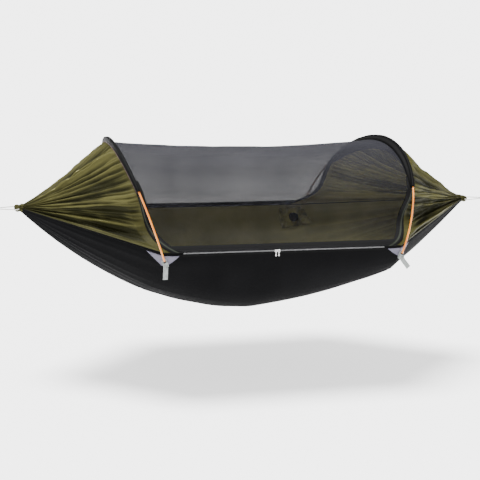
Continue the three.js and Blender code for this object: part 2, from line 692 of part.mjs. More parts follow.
function addPouch() {
  const fullness = (u, v) => 2.5 + pouchFullness * Math.sqrt(Math.sin(Math.PI * u) * Math.sin(Math.PI * v));
  place('storage_pouch', panel(pouchFace, 8, 7, fullness, pouchLift), oliveNylon);

  const disc = new THREE.CylinderGeometry(32, 32, 1.6, 24).rotateX(Math.PI / 2);
  const along = pouchFace(0.8, 0.5).sub(pouchFace(0.2, 0.5));
  const inwards = pouchFace(0.5, 0.8).sub(pouchFace(0.5, 0.2)).cross(along).normalize();
  const out = -pouchLift + 2.5 + pouchFullness + 5;
  const badge = place('pouch_badge', disc, blackTape, pouchFace(0.5, 0.5).addScaledVector(inwards, out));
  badge.quaternion.setFromUnitVectors(point(0, 0, 1), inwards);
}

// ---- Assembly -------------------------------------------------------------------------------------
addBed();
addNet();
addNetBand(FRONT);
addNetBand(REAR);
addDoorZip();
addPouch();
for (const end of [HEAD, FOOT]) {
  addEndCap(end);
  addSlider(end);
  addPole(end);
  addSleeve(end);
  addGatheredEnd(end);
  addRopeLoop(end);
  addCarabiner(end);
  for (const side of [FRONT, REAR]) {
    addCornerPatch(end, side);
    addPoleTip(end, side);
    addTab(end, side, end === FOOT && side === FRONT ? -0.62 : 0);
  }
}

// Stand the whole hammock at its origin, the head-end strap's bearing point.
hammock.position.set(ropeBarReach + barSpacing - barRadius, 0, -endHeight);

export default hammock;
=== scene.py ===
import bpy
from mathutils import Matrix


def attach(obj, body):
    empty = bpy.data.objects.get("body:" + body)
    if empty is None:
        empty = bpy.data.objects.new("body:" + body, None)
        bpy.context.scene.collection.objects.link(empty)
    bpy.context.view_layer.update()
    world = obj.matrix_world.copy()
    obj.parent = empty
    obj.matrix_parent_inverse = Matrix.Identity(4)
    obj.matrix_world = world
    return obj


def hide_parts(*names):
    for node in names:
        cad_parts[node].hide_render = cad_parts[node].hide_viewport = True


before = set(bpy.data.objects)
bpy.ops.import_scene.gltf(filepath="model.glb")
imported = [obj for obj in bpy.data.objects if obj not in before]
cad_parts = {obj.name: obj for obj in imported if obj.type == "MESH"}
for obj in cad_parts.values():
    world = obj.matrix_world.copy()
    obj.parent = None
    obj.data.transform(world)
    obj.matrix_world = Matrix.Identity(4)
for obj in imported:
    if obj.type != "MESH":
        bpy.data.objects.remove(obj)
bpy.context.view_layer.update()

import math

import bmesh
import bpy
import numpy as np
from mathutils import Quaternion, Vector

# ---- Camera -----------------------------------------------------------------------------------------
# Looks down the length of the hammock from in front and a little above, with a long lens.
MM = 0.001
span_middle = np.array([1509.1, 0.0, -186.0]) * MM  # mid-span, at the height of the pole feet

azimuth, elevation, roll = math.radians(-21.1), math.radians(11.8), math.radians(2.8)
level = math.cos(elevation)
back = Vector((math.sin(azimuth) * level, -math.cos(azimuth) * level, math.sin(elevation)))
camera = bpy.data.objects.new("camera", bpy.data.cameras.new("camera"))
bpy.context.scene.collection.objects.link(camera)
camera.location = Vector(span_middle) + back * 9.0
camera.rotation_mode = "QUATERNION"
camera.rotation_quaternion = (-back).to_track_quat("-Z", "Y") @ Quaternion((0, 0, 1), roll)
camera.data.lens = 122.5
camera.data.shift_x, camera.data.shift_y = -0.0208, -0.0083
bpy.context.scene.camera = camera

# ---- Rope loops -------------------------------------------------------------------------------------
# A 5 mm braided cord runs out of each side of the gathered end and round the carabiner's bar.
# Each is a swept tube on the same route as the cord's CAD solid, and the strap keeps it taut.
ROOT = "canopy_and_bed"
HEAD, FOOT, FRONT, REAR = -1, 1, -1, 1
end_name = {HEAD: "head", FOOT: "foot"}
side_name = {FRONT: "front", REAR: "rear"}


class Finish:
    """The nodes of one new material. A node's inputs may be plain values or the sockets of other nodes."""

    def __init__(self, name):
        self.material = bpy.data.materials.new(name)
        self.material.use_nodes = True
        self.tree = self.material.node_tree

    def fill(self, new, inputs):
        for key, value in inputs.items():
            if isinstance(value, bpy.types.NodeSocket):
                self.tree.links.new(value, new.inputs[key])
            else:
                new.inputs[key].default_value = value

    def node(self, kind, inputs, **settings):
        new = self.tree.nodes.new(kind)
        for key, value in settings.items():
            setattr(new, key, value)
        self.fill(new, inputs)
        return new

    def place(self):
        return self.node("ShaderNodeUVMap", {}, uv_map="UVMap").outputs["UV"]

    def spot(self):
        return self.node("ShaderNodeTexCoord", {}).outputs["Object"]

    def attribute(self, name):
        return self.node("ShaderNodeAttribute", {}, attribute_name=name).outputs["Fac"]

    def mapping(self, vector, **changes):
        return self.node("ShaderNodeMapping", {"Vector": vector, **changes}).outputs[0]

    def noise(self, vector, scale, detail=2.0):
        inputs = {"Vector": vector, "Scale": scale, "Detail": detail}
        return self.node("ShaderNodeTexNoise", inputs).outputs["Fac"]

    def wave(self, vector, scale, way, distortion=0.0):
        inputs = {"Vector": vector, "Scale": scale, "Distortion": distortion}
        return self.node("ShaderNodeTexWave", inputs, bands_direction=way).outputs["Fac"]

    def threads(self, vector, scale):
        return [self.wave(vector, scale, way) for way in ("X", "Y")]

    def math(self, operation, *values, clamp=False):
        inputs = dict(enumerate(values))
        return self.node("ShaderNodeMath", inputs, operation=operation, use_clamp=clamp).outputs[0]

    def weighted(self, value, weight, other):
        return self.math("MULTIPLY_ADD", value, weight, other)

    def mix(self, factor, low, high):
        return self.node("ShaderNodeMix", {"Factor": factor, 6: low, 7: high}, data_type="RGBA").outputs[2]

    def ramp(self, factor, low, high):
        """Colour between two (position, colour) ends."""
        ramp = self.node("ShaderNodeValToRGB", {"Fac": factor})
        for element, (position, colour) in zip(ramp.color_ramp.elements, (low, high)):
            element.position, element.color = position, colour
        return ramp.outputs[0]

    def bump(self, height, distance, strength, **more):
        inputs = {"Height": height, "Distance": distance, "Strength": strength, **more}
        return self.node("ShaderNodeBump", inputs).outputs[0]

    def done(self, colour, normal, roughness, **more):
        """Sets the shader's inputs, whose names may be given with _ for a space, and returns the material."""
        inputs = {"Base Color": colour, "Normal": normal, "Roughness": roughness}
        inputs.update({key.replace("_", " "): value for key, value in more.items()})
        self.fill(self.tree.nodes["Principled BSDF"], {k: v for k, v in inputs.items() if v is not None})
        return self.material


def srgb(red, green, blue):
    """Scene-linear colour of the given display colour, 0 to 255."""
    channel = [c / 255 / 12.92 if c <= 10 else ((c / 255 + 0.055) / 1.055) ** 2.4 for c in (red, green, blue)]
    return (*channel, 1.0)


def in_scene(name, data):
    made = bpy.data.objects.new(name, data)
    bpy.context.scene.collection.objects.link(made)
    return made


def mesh_object(name, points, faces, uvs, finish, smooth=True, attributes=None):
    """A mesh from points in metres from mid-span, with one UV for each point."""
    mesh = bpy.data.meshes.new(name)
    mesh.from_pydata((np.asarray(points) + span_middle).tolist(), [], faces)
    layer = mesh.uv_layers.new(name="UVMap")
    corners = np.zeros(len(mesh.loops), dtype=np.int32)
    mesh.loops.foreach_get("vertex_index", corners)
    layer.data.foreach_set("uv", np.asarray(uvs, dtype=np.float32)[corners].ravel())
    for key, values in (attributes or {}).items():
        mesh.attributes.new(key, "FLOAT", "POINT").data.foreach_set("value", np.asarray(values, np.float32))
    mesh.polygons.foreach_set("use_smooth", [smooth] * len(mesh.polygons))
    mesh.materials.append(finish)
    mesh.update()
    return in_scene(name, mesh)


def unit(vectors):
    return vectors / np.maximum(np.linalg.norm(vectors, axis=-1, keepdims=True), 1e-12)


def smooth_route(points, count):
    """Points spaced evenly along the centripetal Catmull-Rom curve through the given points."""
    p = np.asarray(points, float)
    p = np.vstack([2 * p[0] - p[1], p, 2 * p[-1] - p[-2]])
    fine = []
    for a, b, c, d in zip(p, p[1:], p[2:], p[3:]):
        t1 = np.linalg.norm(b - a) ** 0.5
        t2 = t1 + np.linalg.norm(c - b) ** 0.5
        t3 = t2 + np.linalg.norm(d - c) ** 0.5
        t = np.linspace(t1, t2, 24, endpoint=False)[:, None]
        ab, bc, cd = (t1 - t) / t1 * a + t / t1 * b, (t2 - t) / (t2 - t1) * b + (t - t1) / (t2 - t1) * c, \
            (t3 - t) / (t3 - t2) * c + (t - t2) / (t3 - t2) * d
        abc, bcd = (t2 - t) / t2 * ab + t / t2 * bc, (t3 - t) / (t3 - t1) * bc + (t - t1) / (t3 - t1) * cd
        fine.append((t2 - t) / (t2 - t1) * abc + (t - t1) / (t2 - t1) * bcd)
    fine = np.vstack(fine + [p[-2][None]])
    return resampled(fine, count)


def distances(points):
    """How far along the first axis each point lies."""
    return np.insert(np.linalg.norm(np.diff(points, axis=0), axis=-1).cumsum(axis=0), 0, 0.0, axis=0)


def resampled(route, count):
    along = distances(route)
    wanted = np.linspace(0, along[-1], count)
    return np.stack([np.interp(wanted, along, route[:, k]) for k in range(3)], -1)


def route_frames(route, first=None):
    """Tangents, and a pair of side vectors that turn as little as they can along the route."""
    tangent = unit(np.gradient(route, axis=0))
    side = np.zeros_like(route)
    if first is None:
        first = np.cross(tangent[0], [0, 0, 1.0] if abs(tangent[0][2]) < 0.99 else [0, 1.0, 0])
    side[0] = unit(first - tangent[0] * np.dot(first, tangent[0]))
    for i in range(1, len(route)):
        side[i] = unit(side[i - 1] - tangent[i] * np.dot(side[i - 1], tangent[i]))
    return tangent, side, np.cross(tangent, side)


def uv_grid(x, y):
    return np.stack(np.broadcast_arrays(x, y), -1).reshape(-1, 2)


def ring_faces(rows, ring):
    """The faces of a tube made of closed rings, with both its ends shut."""
    faces = [(i * ring + j, (i + 1) * ring + j, (i + 1) * ring + (j + 1) % ring, i * ring + (j + 1) % ring)
             for i in range(rows - 1) for j in range(ring)]
    return faces + [tuple(range(ring)), tuple(range((rows - 1) * ring, rows * ring))[::-1]]


def swept(name, route, section, finish, first=None, tone=None):
    """Sweeps a closed outline of (side, up) pairs along the route. The outline may be one for all, or one
    for each point. UV x runs round the outline and y along the route, both in metres."""
    tangent, side, up = route_frames(route, first)
    section = np.broadcast_to(np.asarray(section, float), (len(route), *np.shape(section)[-2:]))
    points = route[:, None] + section[..., :1] * side[:, None] + section[..., 1:] * up[:, None]
    rows, ring = points.shape[:2]
    uvs = uv_grid(distances(section[rows // 2])[None], distances(route)[:, None])
    extra = {} if tone is None else {"fold": np.broadcast_to(tone, (rows, ring)).ravel()}
    made = mesh_object(name, points.reshape(-1, 3), ring_faces(rows, ring), uvs, finish, attributes=extra)
    outward(made)
    return made


def outward(made):
    """Turns every face of a closed mesh outwards."""
    work = bmesh.new()
    work.from_mesh(made.data)
    bmesh.ops.recalc_face_normals(work, faces=work.faces)
    if work.calc_volume(signed=True) < 0:
        bmesh.ops.reverse_faces(work, faces=work.faces)
    work.to_mesh(made.data)
    work.free()


def ring_section(radius, sides, radius_up=None):
    turn = np.linspace(0, 2 * np.pi, sides, endpoint=False)
    return np.stack([radius * np.cos(turn), (radius_up or radius) * np.sin(turn)], -1)


def braid(name, colour, dark, strands_per_m):
    kit = Finish(name)
    place = kit.place()
    leaning = [kit.mapping(place, Rotation=(0, 0, lean * 0.7)) for lean in (1, -1)]
    over = kit.math("MAXIMUM", *(kit.wave(vector, strands_per_m, "X", 0.4) for vector in leaning))
    return kit.done(kit.ramp(over, (0.25, dark), (1.0, colour)), kit.bump(over, 0.0006, 0.8), 0.75,
                    Sheen_Weight=0.3)


def join(piece, replaces=None, body=ROOT):
    """Fixes a piece to its body, and hides the CAD node that it stands for, if one is given."""
    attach(piece, body)
    if replaces:
        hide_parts(replaces)


end_height = 186 * MM
rope_radius = 2.5 * MM
rope_cord = braid("pale_braided_cord", srgb(222, 221, 212), srgb(150, 149, 142), 330)
# Distances from mid-span and from the centre line, out from the gathered end to the carabiner's bar.
rope_leg = [(1303, 19), (1303, 28), (1304, 34), (1308.5, 40), (1317, 42), (1336, 37.5), (1370, 27),
            (1405, 16.5), (1430, 10.8), (1440, 9.8), (1446.9, 7.2), (1450, 0)]
for end in (HEAD, FOOT):
    front_leg = [(end * x * MM, -y * MM, end_height) for x, y in rope_leg]
    rear_leg = [(end * x * MM, y * MM, end_height) for x, y in rope_leg[-2::-1]]
    route = smooth_route(front_leg + rear_leg, 160)
    loop = swept(f"{end_name[end]}_rope", route, ring_section(rope_radius, 12), rope_cord)
    join(loop, f"{end_name[end]}_rope_loop")
    float(distances(route)[-1])

# ---- Bed --------------------------------------------------------------------------------------------
# Two layers of nylon make the bed: a plain black one outside and an olive ripstop one inside. Both are
# bunched at the ends, so folds run out from each gather and die away where the cloth spreads.
half_width, foot_reach, crown_reach, crown_height = 593 * MM, 606 * MM, 798 * MM, 543 * MM
splay, canopy_shift = 51 * MM, -20 * MM
rim_height, rim_half_width, bed_floor = 53 * MM, 581 * MM, -372 * MM
neck_reach, neck_radius = 1286 * MM, 19 * MM


def lerp(a, b, t):
    return a + (b - a) * t


def hoop_point(end, t):
    """The hoop's centre line, t from the front foot, 0, to the rear foot, 1."""
    t = np.asarray(t, float)
    y, rise = -half_width * np.cos(np.pi * t), np.sin(np.pi * t)
    reach = foot_reach + (crown_reach - foot_reach) * rise - splay * y / half_width
    return np.stack([canopy_shift + end * reach, y, crown_height * rise], -1)


def hoop_foot(end, side):
    return hoop_point(end, 0.0 if side == FRONT else 1.0)


def rim_point(x, side):
    """The bed's rim, straight between the feet and straight out to each gather."""
    head, foot = hoop_foot(HEAD, side)[0], hoop_foot(FOOT, side)[0]
    past_head, past_foot = (head - x) / (head + neck_reach), (x - foot) / (neck_reach - foot)
    out = np.clip(np.where(x < head, past_head, past_foot), 0, 1)
    return np.stack([x, side * lerp(rim_half_width, neck_radius, out), lerp(rim_height, end_height, out)], -1)


def bed_point(u, v):
    """The bed's cloth: u from the head end to the foot end, v from the front rim to the rear rim."""
    x = lerp(-neck_reach, neck_reach, u)
    front, rear = rim_point(x, FRONT), rim_point(x, REAR)
    lowest = -90 * MM
    away = np.abs(x - lowest) / (neck_reach - np.sign(x - lowest) * lowest)
    floor = lerp(bed_floor, end_height - neck_radius, away ** np.where(x < lowest, 1.95, 1.62))
    turn = np.pi * (v - 0.5)
    rim = lerp(front[..., 2], rear[..., 2], v)
    y = (front[..., 1] + rear[..., 1]) / 2 + (rear[..., 1] - front[..., 1]) / 2 * np.sin(turn)
    return np.stack([x, y, rim - (rim - floor) * np.maximum(0, np.cos(turn)) ** 0.9], -1)


def folds(out, across, count, seed, dies, sharp=1.25):
    """Ridges that run out from a gather. out is 0 at the gather; across runs 0 to 1 over the cloth."""
    draw = np.random.default_rng(seed)
    height = np.zeros(np.broadcast(out, across).shape)
    for i in range(count):
        at = (i + 0.5 + draw.uniform(-0.33, 0.33)) / count
        bend, width = draw.normal(0, 0.35) / count, draw.uniform(0.2, 0.42) / count
        strength, reach = draw.uniform(0.45, 1.0), draw.uniform(*dies)
        off = np.abs((across - at - bend * out) / width)
        height += strength * np.exp(-off ** sharp) * np.exp(-(out / reach) ** 3)
    return height - 0.35


def drift(u, v, cells, seed):
    """Soft random swells, with cells[0] by cells[1] of them over the cloth."""
    draw = np.random.default_rng(seed)
    grid = draw.normal(size=(cells[0] + 3, cells[1] + 3))

    def weights(t):
        inner = 3 * t**3 - 6 * t**2 + 4, -3 * t**3 + 3 * t**2 + 3 * t + 1
        return np.stack([(1 - t) ** 3, *inner, t**3], -1) / 6

    a, b = np.clip(u, 0, 1) * (cells[0] - 1e-6), np.clip(v, 0, 1) * (cells[1] - 1e-6)
    i, j = a.astype(int), b.astype(int)
    wa, wb = weights(a - i), weights(b - j)
    return sum(wa[..., p] * wb[..., q] * grid[i + p, j + q] for p in range(4) for q in range(4))


def held(distance, width):
    """0 on a sewn edge, rising to 1 over about the width."""
    return 1 - np.exp(-((distance / width) ** 2))


def held_both(t, width):
    """The same from both edges, at 0 and at 1."""
    return held(t, width) * held(1 - t, width)


def cloth_normals(grid):
    normal = unit(np.cross(np.gradient(grid, axis=0), np.gradient(grid, axis=1)))
    away = grid - [0, 0, end_height / 2]
    away[..., 0] = 0
    return normal if (normal * away).sum() > 0 else -normal


def grid_faces(rows, columns):
    return [(i * columns + j, (i + 1) * columns + j, (i + 1) * columns + j + 1, i * columns + j + 1)
            for i in range(rows - 1) for j in range(columns - 1)]


def two_sided(rows, columns):
    """The faces of two grids of points joined along their edges, and the first grid's edge as a loop."""
    n = rows * columns
    faces = [side for q in grid_faces(rows, columns) for side in (q, tuple(n + k for k in reversed(q)))]
    edge = [(i, 0) for i in range(rows)] + [(rows - 1, j) for j in range(1, columns)]
    edge += [(i, columns - 1) for i in range(rows - 2, -1, -1)] + [(0, j) for j in range(columns - 2, 0, -1)]
    loop = [i * columns + j for i, j in edge]
    return faces + [(a, n + a, n + b, b) for a, b in zip(loop, loop[1:] + loop[:1])], loop


def cloth(name, grid, finish, wall=0.9 * MM, fold=None, lining=None):
    """A thin closed sheet on a grid of points, its inner face in the lining if there is one. UV is in metres
    along and across the cloth."""
    rows, columns = grid.shape[:2]
    normal = cloth_normals(grid)
    points = np.concatenate([grid + normal * wall / 2, grid - normal * wall / 2]).reshape(-1, 3)
    faces, _ = two_sided(rows, columns)
    uvs = uv_grid(distances(grid).mean(1)[:, None], distances(grid.swapaxes(0, 1)).mean(1)[None])
    extra = {} if fold is None else {"fold": np.tile(fold.ravel(), 2)}
    made = mesh_object(name, points, faces, np.tile(uvs, (2, 1)), finish, attributes=extra)
    if lining:
        made.data.materials.append(lining)
        inner = [min(face) >= rows * columns for face in faces]
        made.data.polygons.foreach_set("material_index", inner)
    outward(made)
    return made


def woven(name, light, dark, ripstop=0.0, roughness=0.6, sheen=0.05, weave=0.00045, index=1.2):
    """Nylon cloth: threads over and under, an optional ripstop grid, and painted shade and highlight, the
    colour darkened in fold valleys and lightened on ridges.
    """
    kit = Finish(name)
    place, spot = kit.place(), kit.spot()
    threads = kit.math("MULTIPLY", *kit.threads(place, 0.314 / weave / 2))
    # Painted shade and highlight: the fold attribute darkens the colour in valleys and lightens it on ridges.
    tone = kit.weighted(kit.attribute("fold"), 0.6, 0.55)
    tone = kit.weighted(kit.noise(spot, 7.0, 4.0), 0.5, tone)
    tone = kit.weighted(kit.noise(place, 900.0), 0.25, tone)
    colour = kit.mix(kit.math("SUBTRACT", tone, 0.375, clamp=True), dark, light)
    height = threads
    if ripstop:
        inputs = {"Vector": place, "Scale": 1.0, "Mortar Size": 0.00022, "Mortar Smooth": 0.3,
                  "Brick Width": ripstop, "Row Height": ripstop}
        grid = kit.node("ShaderNodeTexBrick", inputs, offset=0.0, squash=1.0).outputs["Fac"]
        colour = kit.mix(kit.math("MULTIPLY", grid, 0.22), colour, light)
        height = kit.weighted(grid, 1.4, threads)
    relief = kit.bump(kit.noise(spot, 38.0, 3.0), 0.0016, 0.6, Normal=kit.bump(height, 0.00012, 0.5))
    return kit.done(colour, relief, roughness, Sheen_Weight=sheen, Sheen_Roughness=0.4, IOR=index)


olive_ripstop = woven("olive_ripstop", srgb(74, 72, 41), srgb(27, 27, 13), ripstop=0.006, roughness=0.5,
                      sheen=0.0, index=1.12)
# Painted light: the lining is the same olive ripstop as the caps, coloured far paler so that it still reads
# bright in the shade inside the bed and behind the net.
olive_lining_painted_light = woven("olive_lining_painted_light", srgb(186, 181, 128), srgb(96, 94, 60), ripstop=0.006, roughness=0.6)
black_nylon = woven("hull_nylon", srgb(17, 17, 18), srgb(8, 8, 9), roughness=0.6, sheen=0.0, index=1.06)

u, v = np.meshgrid(np.linspace(0, 1, 301), np.linspace(0, 1, 161), indexing="ij")
bed = bed_point(u, v)
bed_fold = 0
for end, out in ((HEAD, u * 2), (FOOT, (1 - u) * 2)):
    near = np.clip(out, 0, 1)
    ridge = lerp(4 * MM, 128 * MM, near**0.85) * (0.3 * (1 - near) ** 1.6 + 0.012)
    bed_fold = bed_fold + folds(out, v, 17, 21 + end, (0.35, 0.95)) * ridge * (out < 1.15)
off_ends = held_both(u, 0.2)
bed_fold += 7 * MM * drift(u, v, (9, 5), 5) * held_both(v, 0.08) * off_ends
bed_fold += 2.2 * MM * drift(u, v, (34, 9), 6) * held_both(v, 0.06) * off_ends
bed_fold *= held_both(v, 0.04)
bed_normal = cloth_normals(bed)
# Painted shade and highlight: the fold height, kept as a colour attribute, darkens the valleys and lightens
# the ridges.
painted_fold_shading = np.clip(bed_fold / (11 * MM), -1, 1)
# The inner layer takes the paler lining colour, painted light against the shade inside the bed.
layers = [("hull_cloth", 0.6 * MM, black_nylon, "black_nylon", "bed_outer"),
          ("bed_cloth", 2.6 * MM, olive_lining_painted_light, "olive_nylon", "bed_inner")]
for name, depth, finish, slot, node_name in layers:
    piece = cloth(name, bed + bed_normal * (bed_fold - depth)[..., None], finish, fold=painted_fold_shading)
    join(piece, node_name)

# ---- End caps ---------------------------------------------------------------------------------------
# An olive ripstop panel closes the space between each gather and its hoop. It is pulled tight from the
# hoop to one point, so it lies in deep folds that fan out from the gather.
corner_run = 92 * MM


def seam_point(end, v):
    """The seam between an end cap and the net: just inside the hoop, then in towards the bed's corner."""
    first = math.asin(rim_height / crown_height) / math.pi
    on_hoop = hoop_point(end, lerp(first, 1 - first, v))
    rise = on_hoop[..., 2] / crown_height
    leg = np.clip((0.66 - rise) / (0.66 - rim_height / crown_height), 0, 1)
    inset = 15 * MM * (1 - leg) + 112 * MM * np.sin(np.pi * leg**1.4)
    side = np.where(on_hoop[..., 1] < 0, -1.0, 1.0)
    hoop_edge = lerp(half_width, rim_half_width, leg) / half_width
    y = on_hoop[..., 1] * hoop_edge - side * inset * np.abs(on_hoop[..., 1] / half_width)
    return np.stack([on_hoop[..., 0] - end * corner_run * leg**8, lerp(y, side * rim_half_width, leg**6),
                     on_hoop[..., 2] - 15 * MM * (1 - leg) * rise], -1)


def cap_point(end, u, v):
    """An end cap: u from the gather, 0, to the hoop seam, 1; v from the front rim to the rear rim."""
    turn = np.pi * v
    neck = np.stack([np.full_like(v, end * neck_reach), -neck_radius * np.cos(turn),
                     end_height + neck_radius * np.sin(turn)], -1)
    seam = seam_point(end, v)
    hang = 1 + 0.35 * np.sin(turn)
    middle = neck + (seam - neck) * u[..., None]
    middle[..., 2] = lerp(neck[..., 2], seam[..., 2], u**hang)
    for side in (FRONT, REAR):
        near = 1 - v if side == FRONT else v
        edge_seam = seam_point(end, np.array(0.0 if side == FRONT else 1.0))
        x = lerp(end * neck_reach, edge_seam[0], u)
        y, z = lerp(side * neck_radius, edge_seam[1], u), lerp(end_height, edge_seam[2], u)
        straight = np.stack([x, y, z], -1)
        middle += (rim_point(x, side) - straight) * (near**6)[..., None]
    middle[..., 2] += 1.2 * MM * np.abs(np.cos(turn)) ** 8
    return middle


for end in (HEAD, FOOT):
    u, v = np.meshgrid(np.linspace(0, 0.994, 127), np.linspace(0, 1, 361), indexing="ij")
    cap = cap_point(end, u, v)
    pitch = lerp(4 * MM, 84 * MM, u)
    fold = folds(u, v, 23, 40 + end, (0.8, 2.2), 0.95) * pitch * (0.9 - 0.58 * u**2)
    fold += folds(u, v + 0.02 * u, 50, 60 + end, (0.5, 1.5), 1.3) * pitch * (0.32 - 0.2 * u)
    fold += folds(1 - u, v + 0.04 * u, 60, 50 + end, (0.1, 0.5), 1.4) * 14 * MM
    fold += 7 * MM * drift(u, v + 0.25 * u, (6, 22), 70 + end) * held(u, 0.25)
    fold += 2.5 * MM * drift(u, v, (22, 50), 80 + end) * held(u, 0.3)
    corner = np.exp(-((np.minimum(v, 1 - v) / 0.07) ** 2))
    fold *= held_both(v, 0.02) * (0.06 + 0.94 * held(1 - u, 0.03 + 0.2 * corner))
    # Painted shade and highlight: the fold height, kept as a colour attribute, darkens the valleys and
    # lightens the ridges.
    depth = np.clip(fold / (0.1 * pitch + 3 * MM), -1, 1)
    piece = cloth(f"{end_name[end]}_cap_cloth", cap + cloth_normals(cap) * fold[..., None], olive_ripstop,
                  fold=depth, lining=olive_lining_painted_light)
    join(piece, f"{end_name[end]}_end_cap")

# ---- Bug net ----------------------------------------------------------------------------------------
# Fine black no-see-um mesh, sewn to both caps and to the rim. It hangs slack between the hoops, so its
# top dips a little and soft pulls run down from the hoops.


def net_point(u, v):
    """The net: u from the head seam to the foot seam, v from the front rim to the rear rim."""
    head, foot = seam_point(HEAD, v), seam_point(FOOT, v)
    sag, up = 1 - np.abs(2 * u - 1) ** 2.6, np.sin(np.pi * v)
    net = head + (foot - head) * u[..., None]
    net[..., 2] += 1.2 * MM * (1 - up) - 34 * MM * sag * up
    net[..., 1] *= 1 - 0.05 * sag * up
    return net


def bug_mesh(name):
    kit = Finish(name)
    place, spot = kit.place(), kit.spot()
    patchy = kit.noise(kit.mapping(spot, Scale=(1, 2, 5)), 2.5, 3.0)
    cells = kit.math("MAXIMUM", *kit.threads(place, 262.0))
    thread = kit.node("ShaderNodeMapRange", {0: cells, 1: 0.55, 2: 0.95, 3: -0.12, 4: 0.14}).outputs[0]
    dense = kit.weighted(patchy, 0.05, kit.attribute("tightness"))
    dense = kit.weighted(kit.attribute("fold"), 0.04, dense)
    return kit.done(kit.mix(patchy, srgb(28, 28, 32), srgb(45, 45, 51)), None, 0.8,
                    Alpha=kit.math("ADD", thread, dense, clamp=True), Specular_IOR_Level=0.1)


net_cloth = bug_mesh("black_bug_mesh")
u, v = np.meshgrid(np.linspace(0.003, 0.997, 141), np.linspace(0, 1, 201), indexing="ij")
net = net_point(u, v)
pulls = 3.0 * MM * drift(u, v, (5, 22), 91) + 2.0 * MM * drift(u, v, (26, 7), 92)
pulls *= held_both(u, 0.12) * held_both(v, 0.07)
net = net + cloth_normals(net) * (pulls - 1.0 * MM)[..., None]
spread = np.stack([u * 1.3, v * 1.75], -1).reshape(-1, 2)
tightness = np.interp(v, [0, 0.12, 0.3, 0.5, 0.75, 0.95, 1], [0.22, 0.3, 0.55, 0.88, 0.94, 0.95, 0.93])
bug_net = mesh_object("net_cloth", net.reshape(-1, 3), grid_faces(*net.shape[:2]), spread, net_cloth,
                      attributes={"fold": (pulls / (4 * MM)).ravel(), "tightness": tightness.ravel()})
join(bug_net, "bug_net")

# ---- Gathered ends ----------------------------------------------------------------------------------
# Bed and cap end in one tunnel of cloth that is bunched up tight along the rope, so its pleats stack
# side by side across the rope. Each is one rolled mesh with deep uneven ridges.
def creased_roll(name, route, radius, creases, depth, seed):
    """A tight roll of cloth whose creases run round or along it, with painted shade darkening the valleys
    between its ridges.
    """
    draw = np.random.default_rng(seed)
    turn = np.linspace(0, 2 * np.pi, 64, endpoint=False)
    along = np.linspace(0, 1, len(route))[:, None]
    ridge = np.full((len(route), 64), 0.5)
    round_it, along_it = creases
    for k in range(round_it):
        at = (k + draw.uniform(0.1, 0.9)) / round_it
        lean, when = draw.uniform(-0.05, 0.05), draw.uniform(0, 6.28)
        off = np.abs(along - at - lean * np.cos(turn + when)) * round_it / 0.32
        ridge -= draw.uniform(0.5, 1.1) * np.exp(-off**1.2)
    for k in range(along_it):
        at, bend = 2 * np.pi * (k + draw.uniform(0.1, 0.9)) / along_it, draw.uniform(-0.5, 0.5)
        away = np.abs((turn - at - bend * along + np.pi) % (2 * np.pi) - np.pi) * along_it / 2.0
        ridge -= draw.uniform(0.5, 1.1) * np.exp(-away**1.2)
    size = np.maximum(radius[:, None] + depth * ridge, 1 * MM)
    section = np.stack([size * np.cos(turn), size * np.sin(turn)], -1)
    # Painted shade: the ridge depth, kept as a colour attribute, darkens the valleys.
    return swept(name, route, section, olive_ripstop, tone=np.clip(ridge, -1, 0.4))


for end in (HEAD, FOOT):
    across = np.linspace(-1, 1, 141)
    route = np.stack([np.full(141, end * 1303 * MM), across * 27.5 * MM, np.full(141, end_height)], -1)
    radius = (15 + 2.2 * np.cos(across * np.pi / 2) + 0.9 * np.sin(9 * across + end)) * MM
    radius = lerp(3.4 * MM, radius, np.sqrt(np.clip(1 - np.abs(across) ** 12, 0, 1)))
    bunch = creased_roll(f"{end_name[end]}_bunched_end", route, radius, (13, 3), 4 * MM, 130 + end)
    reach = np.linspace(1302, 1270, 61)
    neck = np.stack([end * reach * MM, 0 * reach, np.full(61, end_height)], -1)
    wide = np.interp(reach, [1270, 1284, 1294, 1302], [24.5, 22.5, 17, 15]) * MM
    throat = creased_roll(f"{end_name[end]}_throat", neck, wide, (2, 23), 3.2 * MM, 160 + end)
    join(bunch, f"{end_name[end]}_gathered_end")
    join(throat)

# ---- Hoop sleeves -----------------------------------------------------------------------------------
# A black cloth channel holds each hoop. It is sewn over the seam between cap and net, so it is a lens
# with the pole in its middle, a flap on the cap and a flap on the net, and it narrows at both ends.
first_v = math.asin(rim_height / crown_height) / math.pi
sleeve_start = 0.22


def seam_place(t):
    return (t - first_v) / (1 - 2 * first_v)


def closed_curve(points, count):
    """A smooth closed outline through a few points, for a whole row of outlines at once."""
    last = np.concatenate([points[..., -1:, :], points, points[..., :2, :]], -2)
    out = []
    per = count // points.shape[-2]
    for k in range(points.shape[-2]):
        a, b, c, d = (last[..., k + i, :] for i in range(4))
        for t in np.linspace(0, 1, per, endpoint=False):
            out.append(0.5 * (2 * b + (c - a) * t + (2 * a - 5 * b + 4 * c - d) * t**2
                              + (3 * b - a - 3 * c + d) * t**3))
    return np.stack(out, -2)


